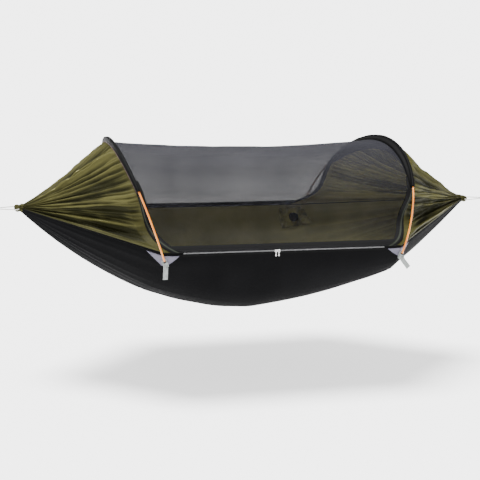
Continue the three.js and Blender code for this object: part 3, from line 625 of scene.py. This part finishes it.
tape_cloth = woven("black_binding", srgb(11, 11, 12), srgb(5, 5, 5), roughness=0.6, sheen=0.0, weave=0.0008,
                   index=1.14)
piping = woven("mauve_piping", srgb(112, 92, 92), srgb(62, 50, 52), roughness=0.6)
# Painted highlight: a pale grey cord along the inner edge of the sleeve's flap stands in for the light caught
# along that edge.
flap_highlight_cord = woven("grey_highlight_cord", srgb(52, 49, 60), srgb(26, 24, 30), roughness=0.6)
for end in (HEAD, FOOT):
    t = np.linspace(sleeve_start, 1 - sleeve_start, 161)
    v = seam_place(t)
    full = np.clip(np.sin(np.pi * (t - sleeve_start) / (1 - 2 * sleeve_start)), 0, 1) ** 0.45
    at_cap, at_net = (0.994, 0.003) if end == HEAD else (0.994, 0.997)
    seam = seam_point(end, v)
    to_cap = unit(cap_point(end, 0 * v + (at_cap - 0.03), v) - cap_point(end, 0 * v + at_cap, v))
    to_net = unit(net_point(0 * v + (at_net - end * 0.02), v) - net_point(0 * v + at_net, v))
    centre = hoop_point(end, t)
    out = unit(centre - seam)
    over = unit(to_net - to_cap - out * ((to_net - to_cap) * out).sum(-1, keepdims=True))
    cap_edge = seam + to_cap * (lerp(6, 12, full) * MM)[:, None] + out * 3 * MM
    net_edge = seam + to_net * (lerp(6, 12 if end == HEAD else 34, full) * MM)[:, None] + out * 2.5 * MM
    flap_edge = seam - out * (lerp(4, 50, full) * MM)[:, None] + over * 3 * MM
    r = 10.2 * MM
    round_pole = [centre + over * r * a + out * r * b
                  for a, b in ((-0.95, 0.1), (-0.55, 0.9), (0.55, 0.9), (0.95, 0.1))]
    outline = np.stack([cap_edge, *round_pole, net_edge, flap_edge + over * 1.5 * MM,
                        flap_edge - over * 1.5 * MM], -2)
    rings = closed_curve(outline, 40)
    rows, ring = rings.shape[:2]
    lengthwise, around = np.meshgrid(np.linspace(0, 1, rows), np.linspace(0, 1, ring), indexing="ij")
    wrinkle = 0.7 * MM * drift(lengthwise, around, (44, 5), 140 + end)
    rings = rings + unit(rings - centre[:, None]) * wrinkle[..., None]
    uvs = uv_grid(distances(centre)[:, None], np.linspace(0, 0.09, ring)[None])
    sleeve = mesh_object(f"{end_name[end]}_sleeve_cloth", rings.reshape(-1, 3), ring_faces(rows, ring), uvs,
                         tape_cloth)
    outward(sleeve)
    join(sleeve, f"{end_name[end]}_hoop_sleeve")

    # The cap cord is mauve piping; the flap cord is a painted highlight.
    for place, edge, size, finish in (("cap", cap_edge + out * 0.6 * MM, 1.5 * MM, piping),
                                      ("flap", flap_edge, 2.2 * MM, flap_highlight_cord)):
        join(swept(f"{end_name[end]}_{place}_piping", edge, ring_section(size, 8), finish))

# ---- Hoops ------------------------------------------------------------------------------------------
# Each hoop is an orange glass-fibre tent pole in four lengths, plugged together by alloy ferrules over
# an elastic cord, with a rubber cup on each foot. The tubes are swept smooth; the small parts are CAD.
pole_radius, pole_pieces = 4.75 * MM, 4


def glass_fibre():
    kit = Finish("orange_glass_fibre")
    streak = kit.noise(kit.mapping(kit.place(), Scale=(900, 6, 1)), 1.0, 3.0)
    mixed = kit.weighted(streak, 0.7, kit.noise(kit.spot(), 12.0))
    return kit.done(kit.ramp(mixed, (0.55, srgb(192, 94, 8)), (1.1, srgb(230, 138, 30))),
                    kit.bump(streak, 0.00008, 0.4), 0.35, Coat_Weight=0.6, Coat_Roughness=0.12)


def shaded(colour, share):
    return tuple(share * c for c in colour[:3]) + (1,)


def metal(name, colour, roughness):
    """Plated or anodised metal with fine wear, laid out in object space."""
    kit = Finish(name)
    spot = kit.spot()
    cloudy = kit.noise(spot, 260.0, 4.0)
    fine = kit.noise(kit.mapping(spot, Scale=(500, 500, 4000)), 1.0)
    rough = kit.node("ShaderNodeMapRange", {0: cloudy, 3: roughness * 0.8, 4: roughness * 1.3}).outputs[0]
    return kit.done(kit.mix(cloudy, shaded(colour, 0.8), colour), kit.bump(fine, 0.00003, 0.3), rough,
                    Metallic=1.0)


def moulded(name, colour, roughness):
    kit = Finish(name)
    spot = kit.spot()
    return kit.done(kit.mix(kit.noise(spot, 90.0), shaded(colour, 0.65), colour),
                    kit.bump(kit.noise(spot, 2200.0), 0.00005, 0.5), roughness)


def finished_node(node_name, finish, name=None, body=ROOT, crease=38):
    """A CAD piece with its round faces smoothed and its real edges kept, in its finish."""
    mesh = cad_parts[node_name].data.copy()
    made = in_scene(name or node_name + "_part", mesh)
    work = bmesh.new()
    work.from_mesh(mesh)
    bmesh.ops.remove_doubles(work, verts=work.verts, dist=2e-6)
    bmesh.ops.dissolve_degenerate(work, edges=work.edges, dist=1e-7)
    work.to_mesh(mesh)
    work.free()
    mesh.polygons.foreach_set("use_smooth", [True] * len(mesh.polygons))
    mesh.set_sharp_from_angle(angle=math.radians(crease))
    mesh.materials.clear()
    mesh.materials.append(finish)
    join(made, node_name, body)


fibre, alloy_metal = glass_fibre(), metal("satin_alloy", (0.5, 0.51, 0.53, 1), 0.34)
tip_rubber = moulded("tip_rubber", srgb(40, 40, 41), 0.8)
elastic_cord = moulded("elastic_cord", srgb(48, 48, 52), 0.9)
joint_gap = 0.0003  # share of the hoop left open at each end of a length
for end in (HEAD, FOOT):
    label = end_name[end]
    for k in range(pole_pieces):
        t = np.linspace(k / pole_pieces + joint_gap, (k + 1) / pole_pieces - joint_gap, 60)
        tube = swept(f"{label}_pole_{k + 1}", hoop_point(end, t), ring_section(pole_radius, 20), fibre)
        join(tube, f"{label}_pole_section_{k + 1}")
    for k in (1, 2, 3):
        finished_node(f"{label}_pole_ferrule_{k}", alloy_metal)
    for side in ("front", "rear"):
        finished_node(f"{label}_{side}_pole_tip", tip_rubber)
    finished_node(f"{label}_shock_cord", elastic_cord, crease=80)

# ---- Net edge bands ---------------------------------------------------------------------------------
# Folded binding, 27 mm wide, edges the net along the rim and up both legs to the sleeve. Its two dark
# edges show with the grey cloth of the fold between them.
band_width = 27 * MM


def edged_tape(name, edge, middle, width, edge_width):
    """Binding whose two edges are darker than its middle, across its UV y direction."""
    kit = Finish(name)
    place = kit.place()
    y = kit.node("ShaderNodeSeparateXYZ", {0: place}).outputs["Y"]
    far = kit.math("ABSOLUTE", kit.math("SUBTRACT", y, width / 2))
    inner = width / 2 - edge_width
    at_edge = kit.node("ShaderNodeMapRange", {0: far, 1: inner - 0.0008, 2: inner}).outputs[0]
    tone = kit.mix(kit.noise(kit.spot(), 30.0, 3.0), shaded(middle, 0.6), middle)
    height = kit.weighted(at_edge, 1.5, kit.wave(place, 350.0, "X"))
    return kit.done(kit.mix(at_edge, tone, edge), kit.bump(height, 0.0003, 0.6), 0.75,
                    Specular_IOR_Level=0.12)


leg_tape = edged_tape("leg_binding", srgb(8, 8, 9), srgb(46, 50, 42), band_width, 9 * MM)
rim_tape = edged_tape("rim_binding", srgb(8, 8, 9), srgb(20, 20, 21), band_width, 9 * MM)
for side in (FRONT, REAR):
    def across_net(v):
        return v if side == FRONT else 1 - v

    strips = []
    for end in (HEAD, FOOT):
        rise, width = np.meshgrid(np.linspace(0, 0.25, 90), np.linspace(0, 1, 9), indexing="ij")
        onto_cap = np.interp(rise, [0, 0.03, 0.1], [0.06, 0.04, 0.013])
        on_cap = cap_point(end, 1 - onto_cap * (1 - width / 0.25), across_net(rise))
        step = (width - 0.25) / 0.75 * 0.0185
        on_net = net_point(step if end == HEAD else 1 - step, across_net(rise))
        leg = np.where((width < 0.25)[..., None], on_cap, on_net)
        strips.append(("leg", end_name[end], leg, leg_tape, 3.0 * MM))
    length, width = np.meshgrid(np.linspace(0.002, 0.998, 160), np.linspace(0, 1, 7), indexing="ij")
    strips.append(("rim", "", net_point(length, across_net(0.001 + width * 0.0172)), rim_tape, 2.2 * MM))
    for kind, label, grid, finish, lift in strips:
        name = "_".join(part for part in (side_name[side], label, kind, "binding") if part)
        strip = cloth(name, grid + cloth_normals(grid) * lift, finish, wall=1.2 * MM)
        join(strip, f"{side_name[side]}_net_band" if kind == "rim" else None)

# ---- Corner patches and tabs ------------------------------------------------------------------------
# A triangle of stout grey cloth spreads the pole's load at each corner of the bed. A strip of 25 mm
# webbing is folded up into a pocket for the pole's foot, and its tail hangs free as a tie-out.


def patch_cloth():
    kit = Finish("grey_patch_cloth")
    place = kit.place()
    threads = kit.math("MULTIPLY", *kit.threads(place, 420.0))
    tone = kit.weighted(threads, 0.4, kit.noise(kit.spot(), 24.0, 4.0))
    return kit.done(kit.mix(tone, srgb(70, 67, 82), srgb(104, 101, 118)), kit.bump(threads, 0.0002, 0.7), 0.6)


def webbing(name, colour, dark):
    """Flat woven webbing: ribs across it and cords along it."""
    kit = Finish(name)
    place = kit.place()
    both = kit.math("MULTIPLY", kit.wave(place, 260.0, "Y", 0.6), kit.wave(place, 190.0, "X"))
    tone = kit.weighted(both, 0.6, kit.noise(kit.spot(), 60.0, 3.0))
    return kit.done(kit.mix(tone, dark, colour), kit.bump(both, 0.0004, 0.8), 0.8, Sheen_Weight=0.2)


stitch_thread = moulded("stitch_thread", srgb(20, 20, 21), 0.85)
grey_thread = moulded("grey_thread", srgb(66, 66, 68), 0.85)


def bead_tree(name, lengths, look, segments, rings, spread):
    """A tree that puts a bead on every point that spread makes, and sets its size, turn and material."""
    tree = bpy.data.node_groups.new(name, "GeometryNodeTree")
    face = tree.interface
    face.new_socket("Geometry", in_out="INPUT", socket_type="NodeSocketGeometry")
    for label, value in lengths.items():
        face.new_socket(label, in_out="INPUT", socket_type="NodeSocketFloat").default_value = value
    face.new_socket(look, in_out="INPUT", socket_type="NodeSocketMaterial")
    face.new_socket("Geometry", in_out="OUTPUT", socket_type="NodeSocketGeometry")
    new, link = tree.nodes.new, tree.links.new
    given, result = new("NodeGroupInput").outputs, new("NodeGroupOutput")
    points, lengths, turn = spread(new, link, given)
    bead = new("GeometryNodeMeshUVSphere")
    bead.inputs["Segments"].default_value, bead.inputs["Rings"].default_value = segments, rings
    bead.inputs["Radius"].default_value = 1.0
    size, copies = new("ShaderNodeCombineXYZ"), new("GeometryNodeInstanceOnPoints")
    for way, length in zip("XYZ", lengths):
        link(length, size.inputs[way])
    link(points, copies.inputs["Points"])
    link(bead.outputs["Mesh"], copies.inputs["Instance"])
    link(size.outputs[0], copies.inputs["Scale"])
    if turn:
        link(turn, copies.inputs["Rotation"])
    real, dressed = new("GeometryNodeRealizeInstances"), new("GeometryNodeSetMaterial")
    link(copies.outputs[0], real.inputs[0])
    link(real.outputs[0], dressed.inputs["Geometry"])
    link(given[look], dressed.inputs["Material"])
    link(dressed.outputs[0], result.inputs[0])
    return tree


def along_lines(new, link, given):
    """One stitch at each step along the lines, turned along them."""
    curve, spaced = new("GeometryNodeMeshToCurve"), new("GeometryNodeResampleCurve")
    spaced.mode = "LENGTH"
    link(given["Geometry"], curve.inputs["Mesh"])
    link(curve.outputs[0], spaced.inputs["Curve"])
    link(given["Pitch"], spaced.inputs["Length"])
    half = new("ShaderNodeMath")
    half.operation, half.inputs[1].default_value = "MULTIPLY", 0.5
    link(given["Stitch length"], half.inputs[0])
    tangent, turned = new("GeometryNodeInputTangent"), new("FunctionNodeAlignRotationToVector")
    turned.axis = "Z"
    link(tangent.outputs[0], turned.inputs["Vector"])
    radius = given["Thread radius"]
    return spaced.outputs[0], (radius, radius, half.outputs[0]), turned.outputs[0]


stitch_line = bead_tree("stitch_line", {"Pitch": 4 * MM, "Stitch length": 3 * MM, "Thread radius": 0.4 * MM},
                        "Thread", 6, 4, along_lines)


def made_by_nodes(name, points, edges, tree, values):
    """Runs a node tree on points and edges, and keeps the result as a plain mesh."""
    lines = bpy.data.meshes.new(name + "_lines")
    lines.from_pydata(points, edges, [])
    source = in_scene(name + "_lines", lines)
    modifier = source.modifiers.new(tree.name, "NODES")
    modifier.node_group = tree
    for item in tree.interface.items_tree:
        if item.in_out == "INPUT" and item.name in values:
            modifier[item.identifier] = values[item.name]
    bpy.context.view_layer.update()
    mesh = bpy.data.meshes.new_from_object(source.evaluated_get(bpy.context.evaluated_depsgraph_get()))
    mesh.name = name
    made = in_scene(name, mesh)
    bpy.data.objects.remove(source)
    if mesh.materials[0] is None:
        mesh.materials.pop(index=0)
        mesh.polygons.foreach_set("material_index", [0] * len(mesh.polygons))
    mesh.polygons.foreach_set("use_smooth", [True] * len(mesh.polygons))
    return made


def stitches(name, lines, thread, pitch=4 * MM, length=3 * MM):
    """Rows of stitches along the given lines, as one piece."""
    points, edges = [], []
    for line in lines:
        start = len(points)
        points += (np.asarray(line) + span_middle).tolist()
        edges += [(i, i + 1) for i in range(start, len(points) - 1)]
    values = {"Pitch": pitch, "Stitch length": length, "Thread radius": 0.4 * MM, "Thread": thread}
    join(made_by_nodes(name, points, edges, stitch_line, values))


patch, tab_web = patch_cloth(), webbing("tab_webbing", srgb(158, 163, 160), srgb(84, 88, 87))
leg_lean, tail_length, blown_side = math.atan2(crown_reach - foot_reach, crown_height), 76 * MM, (FOOT, FRONT)
boxed_cross = [(-10, -2), (10, -2), (10, -15), (-10, -15), (-10, -2), (10, -15), (10, -2), (-10, -15)]
patch_lines, tab_lines = [], []
for end in (HEAD, FOOT):
    for side in (FRONT, REAR):
        label = f"{end_name[end]}_{side_name[side]}"
        foot = hoop_foot(end, side)
        a, b = np.meshgrid(np.linspace(0, 1, 41), np.linspace(0, 1, 15), indexing="ij")
        x = foot[0] + 76 * MM * (2 * a - 1) * (1 - 0.86 * b)
        grid = bed_point((x + neck_reach) / (2 * neck_reach), 0.5 + side * (0.5 - (0.011 + 0.052 * b)))
        normal = cloth_normals(grid)
        piece = cloth(f"{label}_patch_cloth", grid + normal * 2.6 * MM, patch, wall=1.1 * MM)
        join(piece, f"{label}_corner_patch")
        top = grid + normal * 3.3 * MM
        patch_lines += [top[2:-2, 1], top[2, 1:-1], top[-3, 1:-1], top[3:-3, -2]]

        swing = math.radians(41 if (end, side) == blown_side else 0)
        lean = np.array([math.sin(end * leg_lean), 0, math.cos(leg_lean)])
        out, wide = np.array([0, side, 0.0]), np.array([math.cos(leg_lean), 0, -math.sin(end * leg_lean)])
        bottom = [(-math.cos(k), -8 - 8.5 * math.sin(k)) for k in np.linspace(0, math.pi, 13)]
        pocket = [(-8.5, 22), (-8.6, 10), (-8.5, 0), *((8.5 * c, z) for c, z in bottom), (8.6, 0), (8.7, 8)]
        route = foot + np.array([out * c * MM + lean * z * MM for c, z in pocket])
        strap_section = MM * np.array([(-12.5, -1), (-12, -1.25), (12, -1.25), (12.5, -1), (12.5, 0.6),
                                       (12, 1), (-12, 1), (-12.5, 0.6)])
        tab = swept(f"{label}_tab_pocket", smooth_route(route, 60), strap_section, tab_web, first=wide)
        down = np.linspace(0, 1, 24)
        hang = swing * np.clip(down * 3, 0, 1)
        sway = side * 0.14 * np.sin(3.4 * down) - 0.1 * side
        step = np.stack([np.sin(hang), sway, -np.cos(hang)], -1) * tail_length / 23
        tail_route = foot + out * 11 * MM + lean * 2 * MM + np.cumsum(step, axis=0)
        tail_wide = np.array([math.cos(swing), 0, math.sin(swing)])
        tail = swept(f"{label}_tab_tail", tail_route, strap_section, tab_web, first=tail_wide)
        join(tab, f"{label}_corner_tab")
        join(tail)
        tab_lines.append(tail_route[0] + MM * np.array([out * 1.7 + tail_wide * w + [0, 0, drop]
                                                        for w, drop in boxed_cross]))
for side in (FRONT, REAR):
    along = np.linspace(-neck_reach + 60 * MM, neck_reach - 60 * MM, 500)
    u = (along + neck_reach) / (2 * neck_reach)
    hem_line = bed_point(u, np.full_like(u, 0.007 if side == FRONT else 0.993)) + [0, side * 0.9 * MM, 0]
    rows = []
    for place in (0.0028, 0.0152):
        flat = np.broadcast_to(place if side == FRONT else 1 - place, (240, 2))
        length = np.stack([np.linspace(0.02, 0.98, 240)] * 2, -1)
        edge = net_point(length, flat)
        rows.append(edge[:, 0] + np.array([0, side * 3.2 * MM, 0]))
    for place, lines, thread, slot in (("hem", [hem_line], stitch_thread, "black_nylon"),
                                       ("band", rows, grey_thread, "black_tape")):
        stitches(f"{side_name[side]}_{place}_stitching", lines, thread, pitch=5 * MM, length=3.6 * MM)
stitches("patch_stitching", patch_lines, stitch_thread)
stitches("tab_stitching", tab_lines, stitch_thread, pitch=2.6 * MM, length=2 * MM)

# ---- Door zip ---------------------------------------------------------------------------------------
# A nylon coil zip runs along the front rim on a black tape. Two sliders meet where the door closes, each
# with a plated pull. The coil is rows of small teeth, set alternately above and below its middle.
door_start = hoop_foot(HEAD, FRONT)[0] + corner_run
door_end = hoop_foot(FOOT, FRONT)[0] - corner_run
coil_y, coil_z, tooth_pitch = -rim_half_width - 2.7 * MM, rim_height - 3 * MM, 1.7 * MM


def alternating(new, link, given):
    """One tooth on each point, every second one raised and the others lowered."""
    index, odd = new("GeometryNodeInputIndex"), new("ShaderNodeMath")
    odd.operation, odd.inputs[1].default_value = "MODULO", 2.0
    link(index.outputs[0], odd.inputs[0])
    raised, lower = new("ShaderNodeMapRange"), new("ShaderNodeMath")
    lower.operation, lower.inputs[1].default_value = "MULTIPLY", -1.0
    link(odd.outputs[0], raised.inputs["Value"])
    link(given["Offset"], lower.inputs[0])
    link(lower.outputs[0], raised.inputs["To Min"])
    link(given["Offset"], raised.inputs["To Max"])
    shift, moved = new("ShaderNodeCombineXYZ"), new("GeometryNodeSetPosition")
    link(raised.outputs[0], shift.inputs["Z"])
    link(given["Geometry"], moved.inputs["Geometry"])
    link(shift.outputs[0], moved.inputs["Offset"])
    return moved.outputs[0], [given[f"Tooth {size}"] for size in ("width", "depth", "height")], None


finished_node("door_zip_tape", tape_cloth, name="zip_tape", crease=30)
teeth = np.arange(door_start + 5 * MM, door_end - 5 * MM, tooth_pitch)
tooth = {"Offset": 1.5 * MM, "Tooth height": 2.5 * MM, "Tooth width": 0.95 * MM, "Tooth depth": 1.05 * MM}
coil = made_by_nodes("zip_coil", [tuple(span_middle + [x, coil_y, coil_z]) for x in teeth], [],
                     bead_tree("zip_coil", tooth, "Nylon", 8, 5, alternating),
                     {**tooth, "Nylon": moulded("grey_zip_nylon", srgb(128, 128, 130), 0.45)})
join(coil, "door_zip_coil")
plated = metal("plated_zinc", (0.56, 0.56, 0.55, 1), 0.24)
for end in (HEAD, FOOT):
    for part in ("zip_slider", "zip_pull"):
        finished_node(f"{end_name[end]}_{part}", plated, body=f"{end_name[end]}_{part}", crease=30)

# ---- Carabiners -------------------------------------------------------------------------------------
# Forged alloy with a satin finish: a C-shaped body with a key-shaped nose, and a sprung gate on a steel
# pin. The strap that holds the hammock up bears on the far bar.
pin_steel = metal("pin_steel", (0.55, 0.56, 0.58, 1), 0.25)
for end in (HEAD, FOOT):
    label = end_name[end]
    finished_node(f"{label}_carabiner_body", alloy_metal, body=f"{label}_carabiner")
    finished_node(f"{label}_carabiner_gate", alloy_metal, body=f"{label}_gate")
    finished_node(f"{label}_carabiner_gate_pin", pin_steel, body=f"{label}_carabiner")

# ---- Rim hem ----------------------------------------------------------------------------------------
# The bed's edge is rolled under and sewn down on both long sides, from one gathered end to the other.
for side in (FRONT, REAR):
    along = np.linspace(-neck_reach + 4 * MM, neck_reach - 4 * MM, 420)
    hem_route = rim_point(along, side) - [0, side * 0.4 * MM, -0.4 * MM]
    join(swept(f"{side_name[side]}_rim_hem", hem_route, ring_section(1.4 * MM, 10, 2.8 * MM), tape_cloth))

# ---- Storage pouch ----------------------------------------------------------------------------------
# The stuff sack hangs inside the bed from its mouth, sewn to the rear rim near the foot. It is a soft
# pillow of olive cloth with a plain round badge.
pouch_x, pouch_half = 470 * MM, 84 * MM


def pouch_cloth():
    a, b = np.meshgrid(np.linspace(0, 1, 61), np.linspace(0, 1, 51), indexing="ij")
    x = pouch_x + 10 * MM + pouch_half * (2 * a - 1) * (0.95 + 0.12 * b) + 22 * MM * (b - 0.3)
    wall = bed_point((x + neck_reach) / (2 * neck_reach), 1 - 0.012 - 0.115 * b)
    inwards = -cloth_normals(wall)
    plump = np.clip(np.sin(np.pi * a) * np.sin(np.pi * np.clip(b * 1.02, 0, 1)), 0, 1) ** 0.5
    crumple = 3.6 * MM * drift(a, b, (7, 6), 150) + 2.2 * MM * drift(a, b, (16, 15), 151)
    pucker = 3 * MM * folds(b, a, 13, 152, (0.25, 0.6))
    front = wall + inwards * (8 * MM + 22 * MM * plump + (crumple + pucker) * plump**0.7)[..., None]
    rear = wall + inwards * (7.6 * MM - 1.5 * MM * plump)[..., None]
    n = a.size
    points = np.concatenate([front.reshape(-1, 3), rear.reshape(-1, 3)])
    faces, loop = two_sided(*a.shape)
    uvs = np.tile(np.stack([a * 0.17, b * 0.15], -1).reshape(-1, 2), (2, 1))
    # Painted shade and highlight: the wrinkle height, kept as a colour attribute, darkens the hollows and
    # lightens the crests.
    tone = np.clip((crumple + pucker) / (6 * MM) + 0.2, -0.8, 1).ravel()
    # Painted light: the pouch cloth is coloured much paler than the olive ripstop of the caps, so that it
    # still reads bright in the shade inside the bed.
    finish = woven("pouch_ripstop_painted_light", srgb(158, 154, 108), srgb(92, 90, 58), ripstop=0.006, roughness=0.5)
    made = mesh_object("pouch_cloth", points, faces, uvs, finish, attributes={"fold": np.tile(tone, 2)})
    outward(made)
    moved = inflated(made, list(range(n, 2 * n)) + loop, pressure=2.5, slack=0.1, limit=9 * MM)
    front = moved[:n].reshape(front.shape) - span_middle
    return made, front, inwards


def inflated(made, sewn, pressure, slack, limit):
    """Runs a short cloth simulation in which the cloth has slack to wrinkle, and keeps its shape."""
    made.vertex_groups.new(name="sewn").add(sewn, 1.0, "REPLACE")
    before = np.array([point.co for point in made.data.vertices])
    run = made.modifiers.new("cloth", "CLOTH")
    rules = run.settings
    rules.vertex_group_mass, rules.pin_stiffness = "sewn", 1.0
    rules.use_pressure, rules.uniform_pressure_force = True, pressure
    rules.shrink_min, rules.bending_stiffness, rules.quality = -slack, 0.1, 6
    rules.effector_weights.gravity = 0
    run.collision_settings.use_collision = False
    run.point_cache.frame_start, run.point_cache.frame_end = 1, 20
    for step in range(1, 21):
        bpy.context.scene.frame_set(step)
    shaped = made.evaluated_get(bpy.context.evaluated_depsgraph_get()).data
    shift = np.array([point.co for point in shaped.vertices]) - before
    shift *= np.minimum(1, limit / np.maximum(np.linalg.norm(shift, axis=1, keepdims=True), 1e-9))
    made.modifiers.remove(run)
    bpy.context.scene.frame_set(1)
    made.data.vertices.foreach_set("co", (before + shift).astype(np.float32).ravel())
    made.data.update()
    return before + shift


pouch, pouch_front, pouch_inwards = pouch_cloth()
join(pouch, "storage_pouch")

rings, spokes, badge_radius = 10, 40, 29 * MM
long = np.linalg.norm(pouch_front[60, 25] - pouch_front[0, 25])
tall = np.linalg.norm(pouch_front[30, 50] - pouch_front[30, 0])
points, uvs = [], []
for k in range(rings + 1):
    for i in range(spokes):
        turn, r = 2 * np.pi * i / spokes, badge_radius * k / rings
        a, b = (0.47 + math.cos(turn) * r / long) * 60, (0.5 + math.sin(turn) * r / tall) * 50
        p, q = int(a), int(b)
        across = [lerp(pouch_front[p, q + n], pouch_front[p + 1, q + n], a - p) for n in (0, 1)]
        dome = (3.2 - 1.4 * (k / rings) ** 2) * MM
        points.append(lerp(across[0], across[1], b - q) + pouch_inwards[p, q] * dome)
        uvs.append((r * math.cos(turn), r * math.sin(turn)))
points, facing = np.array(points), pouch_inwards[28, 25]
height = (points - points[0]) @ facing
points += np.outer(0.7 * (np.quantile(height, 0.8) - height), facing)
faces = [face[::-1] for face in ring_faces(rings + 1, spokes)[:-2]]
badge_cloth = moulded("badge_rubber", srgb(10, 10, 11), 0.55)
badge = mesh_object("round_badge", points, faces, uvs, badge_cloth)
solid = badge.modifiers.new("thickness", "SOLIDIFY")
solid.thickness, solid.offset = 1.2 * MM, 0.0
join(badge, "pouch_badge")

# ---- Floor and light --------------------------------------------------------------------------------
# A white studio floor, itself faintly lit so that it stays pale, one broad light overhead, and an even
# fill from all round.
white = (1, 1, 1, 1)
studio_white = Finish("studio_white").done((0.93, 0.93, 0.93, 1), None, 0.9, Emission_Color=white,
                                           Emission_Strength=1.4)
floor_z, floor_half = -740 * MM, 40
corners = np.array([(x * floor_half, y * floor_half, floor_z)
                    for x, y in ((-1, -1), (1, -1), (1, 1), (-1, 1))])
floor = mesh_object("floor", corners, [(0, 1, 2, 3)], corners[:, :2], studio_white, smooth=False)

world = bpy.data.worlds.new("studio")
world.use_nodes = True
world.node_tree.nodes["Background"].inputs["Color"].default_value = white
world.node_tree.nodes["Background"].inputs["Strength"].default_value = 0.62
bpy.context.scene.world = world

lamp = bpy.data.lights.new("overhead", "SUN")
lamp.energy, lamp.angle = 9.5, math.radians(26)
overhead = in_scene("overhead", lamp)
overhead.rotation_mode = "QUATERNION"
overhead.rotation_quaternion = Vector((0.2, -0.06, -1.0)).to_track_quat("-Z", "Y")
